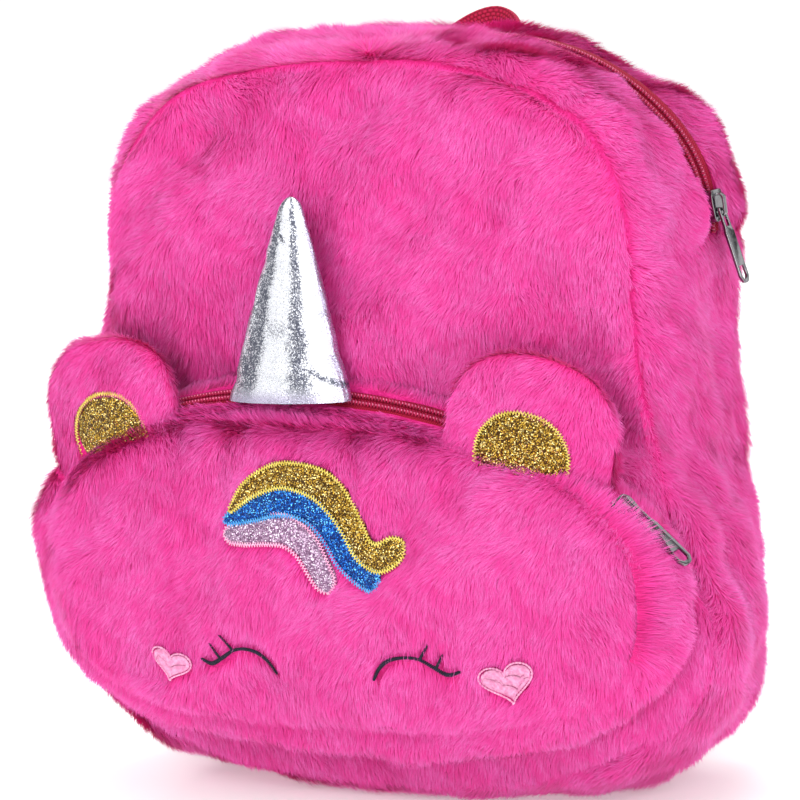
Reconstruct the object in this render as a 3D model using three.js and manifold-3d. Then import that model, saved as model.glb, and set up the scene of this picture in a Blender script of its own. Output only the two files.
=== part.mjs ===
// Plush backpack for a child with a sleepy unicorn face on its front pocket.
// Millimetres, +Z up, +Y towards the wearer's back, origin on the floor under the middle of the bag.
import * as THREE from "three";
import Module from "manifold-3d";
import { mergeVertices } from "three/addons/utils/BufferGeometryUtils.js";

const wasm = await Module();
wasm.setup();

// Cloth and gaps
const plushWall = 3;
const tapeWall = 1.2;
const seamGap = 0.3;

// Bag body
const bagDepth = 80;
const lowSpread = 9;
const lowBulge = 13;
const sideBulge = 7;
const highBulge = 5;
const frontBulge = 18;
const backBulge = 7;
const bulgePower = 2.5;
const bagMiddleZ = 140;
const shoulderLean = 3;
const frontOutline = {
  lowHalfWidth: 149, lowZ: 78, highHalfWidth: 114.5, highZ: 212, topZ: 286, floorZ: 8,
  lowPower: 2.25, highPower: 2.6, flarePower: 2.2, waist: 0,
};
const backOutline = {
  lowHalfWidth: 122, lowZ: 66, highHalfWidth: 117.5, highZ: 214, topZ: 286, floorZ: 8,
  lowPower: 3, highPower: 2.4, flarePower: 1, waist: 5,
};

// Folds and dents pressed into the front panel: places as shares of the low half width and of the
// height, reaches and depths as shares of the panel's bulge
const panelDents = [
  { name: "pinch under the horn", x: -0.22, z: 0.585, reachX: 3.2, reachZ: 0.45, depth: 0.2 },
  { name: "pinch beside the right ear", x: 0.42, z: 0.56, reachX: 2.0, reachZ: 0.6, depth: 0.17 },
  { name: "left side dent", x: -0.78, z: 0.74, reachX: 1.3, reachZ: 0.5, depth: 0.3 },
  { name: "right shoulder dent", x: 0.62, z: 0.8, reachX: 1.0, reachZ: 1.4, depth: 0.17 },
  { name: "top sag", x: -0.1, z: 0.93, reachX: 4.0, reachZ: 0.6, depth: 0.17 },
];

// Upright folds round the gusset: place along the outline (0 base, 1 and 2 the corners of a side,
// 3 top), place across as a share of the depth, reaches likewise, depth as a share of the side bulge
const gussetFolds = [
  { name: "right hip fold", along: 1.25, across: 0.3, reachAlong: 0.5, reachAcross: 0.09, depth: 0.4 },
  { name: "right waist fold", along: 1.6, across: 0.62, reachAlong: 0.34, reachAcross: 0.1, depth: 0.3 },
  { name: "right heel fold", along: 0.85, across: 0.55, reachAlong: 0.2, reachAcross: 0.12, depth: 0.3 },
  { name: "left waist pinch", along: 4.1, across: 0.2, reachAlong: 0.12, reachAcross: 0.35, depth: 0.6 },
  { name: "left hip fold", along: 4.8, across: 0.45, reachAlong: 0.4, reachAcross: 0.1, depth: 0.4 },
];

// Zips
const mainTapeWidth = 12;
const mainZipY = 10;
const mainZipEnd = 1.985;
const mainSliderPlace = 2.045;
const tapeRecess = 0.8;
const coilWidth = 4.4;
const coilHeight = 1.7;
const pocketTapeWidth = 9;

// Front pocket in the shape of a face
const faceMiddleZ = 91;
const faceSeam = { halfWidth: 131, up: 65, down: 55, upPower: 2.3, downPower: 2.7 };
const faceBase = { halfWidth: 135, up: 77, down: 58, upPower: 2, downPower: 2.6 };
const browTilt = 6;
const faceSeamY = -76;
const faceTopDraw = 3;
const faceBulge = 12;
const pocketSideBulge = 7;
const pocketTopBulge = 1.5;
const pocketZipFrom = THREE.MathUtils.degToRad(18);
const pocketZipTo = THREE.MathUtils.degToRad(156);
const pocketSliderAngle = THREE.MathUtils.degToRad(25);
const rootDepth = 6;
const faceDents = [
  { name: "left cheek", x: -0.72, z: 0.62, reachX: 1.6, reachZ: 2.2, depth: 0.2 },
  { name: "right cheek", x: 0.76, z: 0.55, reachX: 1.5, reachZ: 2.4, depth: 0.2 },
  { name: "brow left", x: -0.4, z: 1.45, reachX: 1.4, reachZ: 1.6, depth: 0.17 },
  { name: "brow right", x: 0.36, z: 1.42, reachX: 1.6, reachZ: 1.4, depth: 0.14 },
];

// Step counts
const outlineSteps = { low: 8, side: 7, high: 9 };
const panelRings = [0.35, 0.62, 0.8, 0.91, 0.97, 1];
const backRings = [0.6, 0.9, 1];
const faceSteps = 44;
const faceRings = [0.3, 0.55, 0.74, 0.87, 0.95, 1];

const colours = {
  plush: { color: 0xec3f9c, roughness: 0.95, metalness: 0 },
  webbing: { color: 0xb5123f, roughness: 0.75, metalness: 0 },
  coil: { color: 0xc01a45, roughness: 0.6, metalness: 0 },
  metal: { color: 0x8e8c8f, roughness: 0.28, metalness: 1 },
  foil: { color: 0xcfd2d8, roughness: 0.22, metalness: 0.95 },
  gold: { color: 0xc79a1e, roughness: 0.4, metalness: 0.6 },
  blue: { color: 0x1f7bd0, roughness: 0.4, metalness: 0.4 },
  pink: { color: 0xe6bcd6, roughness: 0.45, metalness: 0.3 },
  thread: { color: 0x1c1a38, roughness: 0.6, metalness: 0 },
  satin: { color: 0xf5a9cf, roughness: 0.45, metalness: 0 },
  plastic: { color: 0x8c1034, roughness: 0.5, metalness: 0 },
};

// Mesh helpers
function geometryFrom(points, faces) {
  const geometry = new THREE.BufferGeometry();
  const numbers = points.flatMap((point) => point.toArray());
  geometry.setAttribute("position", new THREE.Float32BufferAttribute(numbers, 3));
  geometry.setIndex(faces.flat());
  return geometry;
}

function signedVolume(points, faces) {
  return faces.reduce((sum, [a, b, c]) => {
    return sum + points[a].dot(new THREE.Vector3().crossVectors(points[b], points[c])) / 6;
  }, 0);
}

function closedBody(points, faces) {
  const facing = signedVolume(points, faces) < 0 ? faces.map(([a, b, c]) => [a, c, b]) : faces;
  return geometryFrom(points, facing);
}

function quad(faces, a, b, c, d) {
  faces.push([a, b, c], [a, c, d]);
}

// A sheet of cloth between an outer and an inner grid of points, closed along its edges
function sheetBody(outer, inner) {
  const columns = outer[0].length;
  const rows = outer.length;
  const end = columns - 1;
  const points = [...outer.flat(), ...inner.flat()];
  const faces = [];
  const out = (i, j) => i * columns + j;
  const back = (i, j) => rows * columns + out(i, j);
  for (let i = 0; i + 1 < rows; i += 1) {
    for (let j = 0; j + 1 < columns; j += 1) {
      quad(faces, out(i, j), out(i + 1, j), out(i + 1, j + 1), out(i, j + 1));
      quad(faces, back(i, j), back(i, j + 1), back(i + 1, j + 1), back(i + 1, j));
    }
    quad(faces, out(i, 0), back(i, 0), back(i + 1, 0), out(i + 1, 0));
    quad(faces, out(i, end), out(i + 1, end), back(i + 1, end), back(i, end));
  }
  for (let j = 0; j + 1 < columns; j += 1) {
    quad(faces, out(0, j), out(0, j + 1), back(0, j + 1), back(0, j));
    quad(faces, out(rows - 1, j), back(rows - 1, j), back(rows - 1, j + 1), out(rows - 1, j + 1));
  }
  return closedBody(points, faces);
}

// A round sheet: each side is a middle point and rings that grow to the rim
function dishBody(outerMiddle, outerRings, innerMiddle, innerRings) {
  const count = outerRings[0].length;
  const points = [outerMiddle, ...outerRings.flat(), innerMiddle, ...innerRings.flat()];
  const faces = [];
  const innerStart = 1 + outerRings.length * count;
  const out = (ring, i) => 1 + ring * count + (i % count);
  const back = (ring, i) => innerStart + out(ring, i);
  for (let i = 0; i < count; i += 1) {
    faces.push([0, out(0, i), out(0, i + 1)], [innerStart, back(0, i + 1), back(0, i)]);
    for (let ring = 0; ring + 1 < outerRings.length; ring += 1) {
      quad(faces, out(ring, i), out(ring + 1, i), out(ring + 1, i + 1), out(ring, i + 1));
      quad(faces, back(ring, i), back(ring, i + 1), back(ring + 1, i + 1), back(ring + 1, i));
    }
    const rim = outerRings.length - 1;
    quad(faces, out(rim, i), back(rim, i), back(rim, i + 1), out(rim, i + 1));
  }
  return closedBody(points, faces);
}

// A solid through closed sections, each end closed round its middle
function loftBody(sections) {
  const count = sections[0].length;
  const middleOf = (section) => {
    return section.reduce((sum, point) => sum.add(point), new THREE.Vector3()).divideScalar(count);
  };
  const points = [...sections.flat(), middleOf(sections[0]), middleOf(sections.at(-1))];
  const faces = [];
  const at = (section, i) => section * count + (i % count);
  const last = sections.length - 1;
  for (let i = 0; i < count; i += 1) {
    for (let section = 0; section < last; section += 1) {
      quad(faces, at(section, i), at(section, i + 1), at(section + 1, i + 1), at(section + 1, i));
    }
    faces.push([points.length - 2, at(0, i + 1), at(0, i)]);
    faces.push([points.length - 1, at(last, i), at(last, i + 1)]);
  }
  return closedBody(points, faces);
}

function toSolid(geometry) {
  const bare = geometry.clone();
  bare.deleteAttribute("normal");
  bare.deleteAttribute("uv");
  const merged = mergeVertices(bare, 1e-4);
  return new wasm.Manifold(new wasm.Mesh({
    numProp: 3,
    vertProperties: new Float32Array(merged.attributes.position.array),
    triVerts: new Uint32Array(merged.index.array),
  }));
}

function toGeometry(solid) {
  const mesh = solid.getMesh();
  const geometry = new THREE.BufferGeometry();
  geometry.setAttribute("position", new THREE.BufferAttribute(new Float32Array(mesh.vertProperties), 3));
  geometry.setIndex(new THREE.BufferAttribute(new Uint32Array(mesh.triVerts), 1));
  return geometry;
}

const group = new THREE.Group();

function addPiece(name, geometry, look) {
  const material = new THREE.MeshStandardMaterial(colours[look]);
  const mesh = new THREE.Mesh(geometry, material);
  mesh.name = name;
  group.add(mesh);
}

// Bag outline: a place runs from 0 at the base up the right side to 3 at the top, and on to 6
function quarterCurve(angle, power) {
  return { sine: Math.sin(angle) ** (2 / power), cosine: Math.max(0, Math.cos(angle)) ** (2 / power) };
}

function rightOutline(outline, place) {
  if (place <= 1) {
    const { sine, cosine } = quarterCurve(place * Math.PI / 2, outline.lowPower);
    const drop = (outline.lowZ - outline.floorZ) * cosine;
    return new THREE.Vector2(outline.lowHalfWidth * sine, outline.lowZ - drop);
  }
  if (place <= 2) {
    const share = 2 - place;
    const flare = (outline.lowHalfWidth - outline.highHalfWidth) * share ** outline.flarePower;
    const x = outline.highHalfWidth + flare - outline.waist * Math.sin(Math.PI * share);
    return new THREE.Vector2(x, outline.highZ + (outline.lowZ - outline.highZ) * share);
  }
  const { sine, cosine } = quarterCurve((place - 2) * Math.PI / 2, outline.highPower);
  const rise = (outline.topZ - outline.highZ) * sine;
  return new THREE.Vector2(outline.highHalfWidth * cosine, outline.highZ + rise);
}

// The soft shoulders lean a little to the right
function leanAt(z) {
  return shoulderLean * THREE.MathUtils.smoothstep(z, frontOutline.lowZ, frontOutline.highZ);
}

function outlinePoint(outline, place) {
  const turn = THREE.MathUtils.euclideanModulo(place, 6);
  const sign = turn <= 3 ? 1 : -1;
  const point = rightOutline(outline, turn <= 3 ? turn : 6 - turn);
  return new THREE.Vector2(sign * point.x + leanAt(point.y), point.y);
}

function outlineNormal(outline, place) {
  const step = 0.02;
  const along = outlinePoint(outline, place + step).sub(outlinePoint(outline, place - step));
  return new THREE.Vector2(along.y, -along.x).normalize();
}

function outlinePlaces(from, to) {
  const corners = [];
  const counts = [outlineSteps.low, outlineSteps.side, outlineSteps.high,
    outlineSteps.high, outlineSteps.side, outlineSteps.low];
  counts.forEach((count, part) => {
    for (let i = 0; i < count; i += 1) {
      corners.push(part + i / count);
    }
  });
  const turned = corners.flatMap((place) => [place - 6, place, place + 6]);
  const margin = 0.03;
  const inside = turned.filter((place) => place > from + margin && place < to - margin);
  return [from, ...inside.sort((a, b) => a - b), to];
}

function bump(distance) {
  return Math.exp(-distance * distance);
}

const halfDepth = bagDepth / 2;

// The front seam stands further forward round the full lower half than at the top
function frontSeamY(z) {
  const rise = THREE.MathUtils.smoothstep(z, frontOutline.lowZ, frontOutline.highZ);
  return -halfDepth - lowSpread * (1 - rise);
}

function dentDepth(dents, x, z, halfWidth, height, bulge) {
  return dents.reduce((sum, dent) => {
    const across = (x - dent.x * halfWidth) / (dent.reachX * bulge);
    const up = (z - dent.z * height) / (dent.reachZ * bulge);
    return sum + dent.depth * bulge * bump(Math.hypot(across, up));
  }, 0);
}

// How far a point lies from the middle towards the outline, from 0 to 1
function shareToOutline(outline, x, z) {
  const reach = Math.hypot(x, z - bagMiddleZ);
  const turn = Math.atan2(x, -(z - bagMiddleZ));
  let low = 0;
  let high = 3;
  for (let i = 0; i < 30; i += 1) {
    const middle = (low + high) / 2;
    const point = rightOutline(outline, middle);
    if (Math.atan2(point.x, -(point.y - bagMiddleZ)) < Math.abs(turn)) {
      low = middle;
    } else {
      high = middle;
    }
  }
  const edge = rightOutline(outline, low);
  return Math.min(1, reach / Math.hypot(edge.x, edge.y - bagMiddleZ));
}

function frontPanelY(x, z, share) {
  const dents = dentDepth(panelDents, x, z, frontOutline.lowHalfWidth, frontOutline.topZ, frontBulge);
  const held = 1 - share ** bulgePower;
  return frontSeamY(z) - frontBulge * held + dents * held;
}

function backPanelY(x, z, share) {
  return halfDepth + backBulge * (1 - share ** bulgePower);
}

// Rings of a panel from its middle to the outline, moved along Y by an offset
function panelGrid(outline, shares, heightAt, offset) {
  const places = outlinePlaces(0, 6).slice(0, -1);
  const rings = shares.map((share) => places.map((place) => {
    const edge = outlinePoint(outline, place);
    const x = edge.x * share;
    const z = bagMiddleZ + (edge.y - bagMiddleZ) * share;
    return new THREE.Vector3(x, heightAt(x, z, share) + offset, z);
  }));
  return { middle: new THREE.Vector3(0, heightAt(0, bagMiddleZ, 0) + offset, bagMiddleZ), rings };
}

function panelBody(outline, shares, heightAt, outerOffset, innerOffset) {
  const outer = panelGrid(outline, shares, heightAt, outerOffset);
  const inner = panelGrid(outline, shares, heightAt, innerOffset);
  return dishBody(outer.middle, outer.rings, inner.middle, inner.rings);
}

const seamInset = plushWall + seamGap;

// Depths across the gusset at a place: Y where given as such, with its two seams as end values
function gussetDepths(place, from, to, count) {
  const front = frontSeamY(outlinePoint(frontOutline, place).y) + seamInset;
  const start = from ?? front;
  const end = to ?? halfDepth - seamInset;
  return evenSteps(start, end, count);
}

// A point of the gusset at a place of the outline and a depth, moved outwards by an offset
function gussetPoint(place, y, offset) {
  const seam = frontSeamY(outlinePoint(frontOutline, place).y);
  const across = (y - seam) / (halfDepth - seam);
  const point = outlinePoint(frontOutline, place).lerp(outlinePoint(backOutline, place), across);
  const normal = outlineNormal(frontOutline, place).lerp(outlineNormal(backOutline, place), across);
  normal.normalize();
  const down = Math.max(0, -normal.y) ** 2;
  const up = Math.max(0, normal.y) ** 2;
  const fullBulge = sideBulge + (lowBulge - sideBulge) * down + (highBulge - sideBulge) * up;
  const fold = gussetFolds.reduce((sum, row) => {
    const along = (THREE.MathUtils.euclideanModulo(place, 6) - row.along) / row.reachAlong;
    const over = (across - row.across) / row.reachAcross;
    return sum + row.depth * sideBulge * bump(Math.hypot(along, over));
  }, 0);
  const roundness = 4 * across * (1 - across);
  point.addScaledVector(normal, fullBulge * roundness - fold * Math.sqrt(Math.max(0, roundness)));
  point.y = Math.max(0, point.y);
  point.addScaledVector(normal, offset);
  return new THREE.Vector3(point.x, y, point.y);
}

function gussetStrip(from, to, depthsAt, outerOffset, innerOffset) {
  const places = outlinePlaces(from, to);
  const grid = (offset) => places.map((place) => depthsAt(place).map((y) => gussetPoint(place, y, offset)));
  return sheetBody(grid(outerOffset), grid(innerOffset));
}

function evenSteps(from, to, count) {
  return Array.from({ length: count + 1 }, (_, i) => from + (to - from) * i / count);
}

const sideLength = frontOutline.highZ - frontOutline.lowZ;
const seamShare = seamGap / sideLength;
const tapeFront = mainZipY - mainTapeWidth / 2;
const tapeBack = mainZipY + mainTapeWidth / 2;

addPiece("front_panel", panelBody(frontOutline, panelRings, frontPanelY, 0, plushWall), "plush");
addPiece("back_panel", panelBody(backOutline, backRings, backPanelY, 0, -plushWall), "plush");
addPiece("bottom_gusset", gussetStrip(
  -mainZipEnd, mainZipEnd, (place) => gussetDepths(place, null, null, 7), 0, -plushWall,
), "plush");

const zipFrom = mainZipEnd + seamShare;
const zipTo = 6 - zipFrom;
addPiece("zip_gusset_front", gussetStrip(
  zipFrom, zipTo, (place) => gussetDepths(place, null, tapeFront - seamGap, 3), 0, -plushWall,
), "plush");
addPiece("zip_gusset_back", gussetStrip(
  zipFrom, zipTo, (place) => gussetDepths(place, tapeBack + seamGap, null, 2), 0, -plushWall,
), "plush");
addPiece("main_zip_tape", gussetStrip(
  zipFrom, zipTo, () => [tapeFront, tapeBack], -tapeRecess, -tapeRecess - tapeWall,
), "webbing");

// Coil of a zip as one low rounded bead
const beadProfile = [
  { across: -1, height: 0.45 },
  { across: -0.55, height: 1 },
  { across: 0.55, height: 1 },
  { across: 1, height: 0.45 },
];

function mainCoilGrid(lifted) {
  return outlinePlaces(zipFrom, zipTo).map((place) => beadProfile.map(({ across, height }) => {
    const offset = -tapeRecess + seamGap + (lifted ? height * coilHeight : 0);
    return gussetPoint(place, mainZipY + across * coilWidth / 2, offset);
  }));
}
addPiece("main_zip_coil", sheetBody(mainCoilGrid(true), mainCoilGrid(false)), "coil");

// Pocket
function facePoint(shape, angle) {
  const power = Math.sin(angle) >= 0 ? shape.upPower : shape.downPower;
  const rise = Math.sin(angle) >= 0 ? shape.up : shape.down;
  const x = shape.halfWidth * Math.sign(Math.cos(angle)) * Math.abs(Math.cos(angle)) ** (2 / power);
  const z = faceMiddleZ + rise * Math.sign(Math.sin(angle)) * Math.abs(Math.sin(angle)) ** (2 / power);
  const tilt = Math.sin(angle) > 0 ? browTilt * Math.sin(2 * angle) : 0;
  return new THREE.Vector2(x, z - tilt);
}

function faceNormal(angle) {
  const step = 0.02;
  const along = facePoint(faceSeam, angle + step).sub(facePoint(faceSeam, angle - step));
  return new THREE.Vector2(along.y, -along.x).normalize();
}

function seamY(angle) {
  return faceSeamY + faceTopDraw * Math.max(0, Math.sin(angle)) ** 2;
}

function faceSurface(angle, share, offset) {
  const edge = facePoint(faceSeam, angle);
  const x = edge.x * share;
  const z = faceMiddleZ + (edge.y - faceMiddleZ) * share;
  const held = 1 - share ** bulgePower;
  const dents = dentDepth(faceDents, x, z, faceSeam.halfWidth, faceMiddleZ, faceBulge);
  const y = faceSeamY + (seamY(angle) - faceSeamY) * share ** 2 - faceBulge * held + dents * held;
  return new THREE.Vector3(x, y + offset, z);
}

function faceDish(outerOffset, innerOffset) {
  const angles = evenSteps(0, 2 * Math.PI, faceSteps).slice(0, -1);
  const rings = (offset) => faceRings.map((share) => {
    return angles.map((angle) => faceSurface(angle, share, offset));
  });
  return dishBody(
    faceSurface(0, 0, outerOffset), rings(outerOffset),
    faceSurface(0, 0, innerOffset), rings(innerOffset),
  );
}

function rootY(angle) {
  const base = facePoint(faceBase, angle);
  return frontPanelY(base.x, base.y, shareToOutline(frontOutline, base.x, base.y));
}

function pocketDepth(angle) {
  const edge = facePoint(faceSeam, angle);
  const base = facePoint(faceBase, angle);
  return Math.hypot(rootY(angle) - seamY(angle), base.distanceTo(edge));
}

// A point of the pocket's side, as a distance back from the face's seam
function pocketSide(angle, distance) {
  const share = distance / pocketDepth(angle);
  const point = facePoint(faceSeam, angle).lerp(facePoint(faceBase, angle), share);
  const normal = faceNormal(angle);
  const up = Math.max(0, normal.y) ** 2;
  const fullBulge = pocketSideBulge + (pocketTopBulge - pocketSideBulge) * up;
  const held = Math.max(0, share * (1 - share));
  point.addScaledVector(normal, 4 * fullBulge * held);
  return new THREE.Vector3(point.x, seamY(angle) + (rootY(angle) - seamY(angle)) * share, point.y);
}

// The same point moved square to the side by an offset, outwards where it is above zero
function pocketPoint(angle, distance, offset) {
  const turn = 0.02;
  const step = 0.5;
  const around = pocketSide(angle + turn, distance).sub(pocketSide(angle - turn, distance));
  const back = pocketSide(angle, distance + step).sub(pocketSide(angle, distance - step));
  const normal = new THREE.Vector3().crossVectors(back, around).normalize();
  return pocketSide(angle, distance).addScaledVector(normal, offset);
}

function pocketStrip(angles, distancesAt, outerOffset, innerOffset) {
  const grid = (offset) => angles.map((angle) => {
    return distancesAt(angle).map((distance) => pocketPoint(angle, distance, offset));
  });
  return sheetBody(grid(outerOffset), grid(innerOffset));
}

function pocketAngles(from, to) {
  const count = Math.max(2, Math.round((to - from) / (2 * Math.PI / faceSteps)));
  return evenSteps(from, to, count);
}

// Everything behind the front panel's outer face, kept clear by the seam gap
const panelSpace = toSolid(panelBody(frontOutline, panelRings, frontPanelY, -seamGap, 3 * frontBulge));

function cutByPanel(geometry) {
  return toGeometry(toSolid(geometry).subtract(panelSpace));
}

const sideStart = seamInset;
const turnGap = seamGap / faceSeam.halfWidth;
const tapeEnd = sideStart + pocketTapeWidth;
addPiece("pocket_face", faceDish(0, plushWall), "plush");
addPiece("pocket_gusset", cutByPanel(pocketStrip(
  pocketAngles(pocketZipTo + turnGap, 2 * Math.PI + pocketZipFrom - turnGap),
  (angle) => evenSteps(sideStart, pocketDepth(angle) + rootDepth, 4), 0, -plushWall,
)), "plush");
const zipAngles = pocketAngles(pocketZipFrom, pocketZipTo);
addPiece("pocket_top_strip", cutByPanel(pocketStrip(
  zipAngles, (angle) => evenSteps(tapeEnd + seamGap, pocketDepth(angle) + rootDepth, 2), 0, -plushWall,
)), "plush");
addPiece("pocket_zip_tape", cutByPanel(pocketStrip(
  zipAngles, () => [sideStart, tapeEnd], -tapeRecess, -tapeRecess - tapeWall,
)), "webbing");

const pocketZipMiddle = (sideStart + tapeEnd) / 2;
function pocketCoilBody(grow) {
  const grid = (lifted) => zipAngles.map((angle) => beadProfile.map(({ across, height }) => {
    const offset = -tapeRecess + seamGap + (lifted ? height * coilHeight + grow : -grow);
    return pocketPoint(angle, pocketZipMiddle + across * (coilWidth / 2 + grow), offset);
  }));
  return sheetBody(grid(true), grid(false));
}
addPiece("pocket_zip_coil", pocketCoilBody(0), "coil");

// Space taken by the closed pocket, kept clear by the seam gap
function pocketSpaceBody() {
  const angles = evenSteps(0, 2 * Math.PI, faceSteps).slice(0, -1);
  const faceParts = faceRings.map((share) => angles.map((angle) => faceSurface(angle, share, -seamGap)));
  const sideParts = [0.12, 0.3, 0.5, 0.75, 1].map((share) => angles.map((angle) => {
    return pocketPoint(angle, share * (pocketDepth(angle) + rootDepth), 2 * seamGap);
  }));
  const outer = [...faceParts, ...sideParts];
  const middle = new THREE.Vector3(0, -halfDepth, faceMiddleZ);
  const inner = outer.map((_, ring) => outer.at(-1).map((point) => {
    const behind = point.clone().add(new THREE.Vector3(0, plushWall, 0));
    return behind.lerp(middle, 1 - (ring + 1) / outer.length);
  }));
  return dishBody(faceSurface(0, 0, -seamGap), outer, middle, inner);
}
const pocketSpace = toSolid(pocketSpaceBody()).add(toSolid(pocketCoilBody(seamGap)));

// A flat outline in X and Z, given depth along Y
function prism(points, fromY, toY) {
  const shape = new THREE.Shape(points.map(([x, z]) => new THREE.Vector2(x, z)));
  const geometry = new THREE.ExtrudeGeometry(shape, { depth: toY - fromY, bevelEnabled: false });
  geometry.rotateX(Math.PI / 2);
  geometry.translate(0, toY, 0);
  return toSolid(geometry);
}

// Outline of a band that follows a smooth line through rows of x, z and half width
function bandOutline(rows, steps, grow) {
  const curve = new THREE.CatmullRomCurve3(rows.map((row) => new THREE.Vector3(row.x, row.z, row.half)));
  const samples = curve.getPoints(steps);
  const sides = { left: [], right: [] };
  samples.forEach((point, i) => {
    const before = samples[Math.max(0, i - 1)];
    const after = samples[Math.min(steps, i + 1)];
    const length = Math.hypot(after.x - before.x, after.y - before.y);
    const across = [-(after.y - before.y) / length, (after.x - before.x) / length];
    const half = point.z + grow;
    sides.left.push([point.x + across[0] * half, point.y + across[1] * half]);
    sides.right.unshift([point.x - across[0] * half, point.y - across[1] * half]);
  });
  return [...sides.left, ...sides.right];
}

// Ears: stuffed lobes sewn into the top seam of the face
const ear = { halfWidth: 33, up: 31, down: 30, power: 2.5, thickness: 11, rim: 2, tilt: 10, turn: 8 };
const earMiddles = {
  left: new THREE.Vector3(-98.5, -68.5, 152),
  right: new THREE.Vector3(87, -68.5, 147),
};
const earRings = [0.4, 0.7, 0.9, 1];
const patchThickness = 0.8;
const earPatch = { halfWidth: 18.5, up: 17, down: 24, power: 2.1, x: 1, z: -6 };

function lobeOutline(lobe, count) {
  return evenSteps(0, 2 * Math.PI, count).slice(0, -1).map((angle) => {
    const cosine = Math.cos(angle);
    const sine = Math.sin(angle);
    const rise = sine > 0 ? lobe.up : lobe.down;
    const x = lobe.halfWidth * Math.sign(cosine) * Math.abs(cosine) ** (2 / lobe.power);
    const z = rise * Math.sign(sine) * Math.abs(sine) ** (2 / lobe.power);
    return [x, z];
  });
}

function earSurface([x, z], share, front, offset) {
  const swell = (ear.thickness - ear.rim) / 2 * (1 - share ** bulgePower);
  const y = (front ? -1 : 1) * (ear.rim / 2 + swell);
  return new THREE.Vector3(x * share, y + offset, z * share);
}

function earDish(frontOffset, backFront, backOffset) {
  const outline = lobeOutline(ear, 18);
  const rings = (front, offset) => earRings.map((share) => {
    return outline.map((point) => earSurface(point, share, front, offset));
  });
  return dishBody(
    earSurface([0, 0], 0, true, frontOffset), rings(true, frontOffset),
    earSurface([0, 0], 0, backFront, backOffset), rings(backFront, backOffset),
  );
}

function placeEar(geometry, side) {
  const sign = side === "left" ? 1 : -1;
  const middle = earMiddles[side];
  geometry.rotateY(-sign * THREE.MathUtils.degToRad(ear.tilt));
  geometry.rotateZ(-sign * THREE.MathUtils.degToRad(ear.turn));
  geometry.translate(middle.x, middle.y, middle.z);
  return toSolid(geometry);
}

function addEar(side) {
  const lobe = placeEar(earDish(0, false, 0), side).subtract(pocketSpace).subtract(panelSpace);
  addPiece(`ear_${side}`, toGeometry(lobe), "plush");
  const shell = placeEar(earDish(-seamGap - patchThickness, true, -seamGap), side);
  const sign = side === "left" ? 1 : -1;
  const leaf = lobeOutline(earPatch, 24).map(([x, z]) => [x + sign * earPatch.x, z + earPatch.z]);
  const cutter = placeEar(toGeometry(prism(leaf, -ear.thickness, 0)), side);
  addPiece(`ear_patch_${side}`, toGeometry(shell.intersect(cutter).subtract(pocketSpace)), "gold");
}
addEar("left");
addEar("right");

// Horn: a stuffed cone, flattened from front to back and leaning against the bag
const horn = {
  x: -15, tipX: -13.5, y: -71.5, tipY: -62, baseZ: 156, tipZ: 237,
  halfWidth: 27, halfDepth: 9, tip: 2.6, taperPower: 1.04, roundFrom: 0.9, flatPower: 0.8,
};
const hornSections = [0, 0.1, 0.28, 0.46, 0.64, 0.8, 0.92, 0.98];
const hornCreases = [
  { name: "near the tip", height: 0.62, reach: 0.05, side: -0.6, depth: 0.05 },
  { name: "near the base", height: 0.2, reach: 0.07, side: 0.7, depth: 0.06 },
];

function hornSection(share) {
  const least = horn.tip / horn.halfWidth;
  const narrow = least + (1 - least) * (1 - share) ** horn.taperPower;
  const rounding = Math.sqrt(1 - Math.max(0, (share - horn.roundFrom) / (1 - horn.roundFrom)) ** 2);
  return evenSteps(0, 2 * Math.PI, 16).slice(0, -1).map((angle) => {
    const crease = hornCreases.reduce((sum, row) => {
      const facing = Math.max(0, Math.cos(angle) * row.side + 0.5);
      return sum + row.depth * bump((share - row.height) / row.reach) * facing;
    }, 0);
    const size = narrow * rounding - crease * narrow;
    const sideways = horn.halfWidth * size * Math.cos(angle);
    const forward = horn.halfDepth * size ** horn.flatPower * Math.sin(angle);
    return new THREE.Vector3(
      THREE.MathUtils.lerp(horn.x, horn.tipX, share) + sideways,
      THREE.MathUtils.lerp(horn.y, horn.tipY, share) - forward,
      THREE.MathUtils.lerp(horn.baseZ, horn.tipZ, share),
    );
  });
}
const hornSolid = toSolid(loftBody(hornSections.map(hornSection)));
addPiece("horn", toGeometry(hornSolid.subtract(pocketSpace)), "foil");

// Mane: three glitter bands laid side by side on the forehead
const trimThickness = 1;
const maneSteps = 16;
const maneBands = {
  mane_gold: [
    { x: -36, z: 120.5, half: 1 }, { x: -26.5, z: 129.5, half: 3.6 }, { x: -14.5, z: 134.5, half: 4.8 },
    { x: -3.5, z: 134, half: 5.4 }, { x: 6.5, z: 130.5, half: 5.6 }, { x: 14, z: 123, half: 5.2 },
    { x: 18.5, z: 114.5, half: 4.8 }, { x: 22.5, z: 107.5, half: 4.8 }, { x: 29, z: 105, half: 5.4 },
    { x: 36, z: 108, half: 5.2 }, { x: 40, z: 111, half: 3 },
  ],
  mane_blue: [
    { x: -37, z: 117, half: 1.8 }, { x: -26, z: 121, half: 4.4 }, { x: -14.5, z: 125.5, half: 6 },
    { x: -4.5, z: 125, half: 6 }, { x: 4, z: 121, half: 6 }, { x: 10.5, z: 113, half: 6 },
    { x: 15.5, z: 104.5, half: 6 }, { x: 21.5, z: 98.5, half: 5.4 }, { x: 29.5, z: 96.5, half: 3.6 },
  ],
  mane_pink: [
    { x: -37, z: 111.5, half: 3.2 }, { x: -28, z: 113, half: 5 }, { x: -18.5, z: 114.5, half: 5.8 },
    { x: -10, z: 114, half: 6 }, { x: -3.5, z: 109.5, half: 6 }, { x: 0.5, z: 102.5, half: 5.6 },
    { x: 3.5, z: 96, half: 5.2 }, { x: 5, z: 91, half: 3 },
  ],
};
const frontMost = faceSeamY - 3 * faceBulge;
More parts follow.
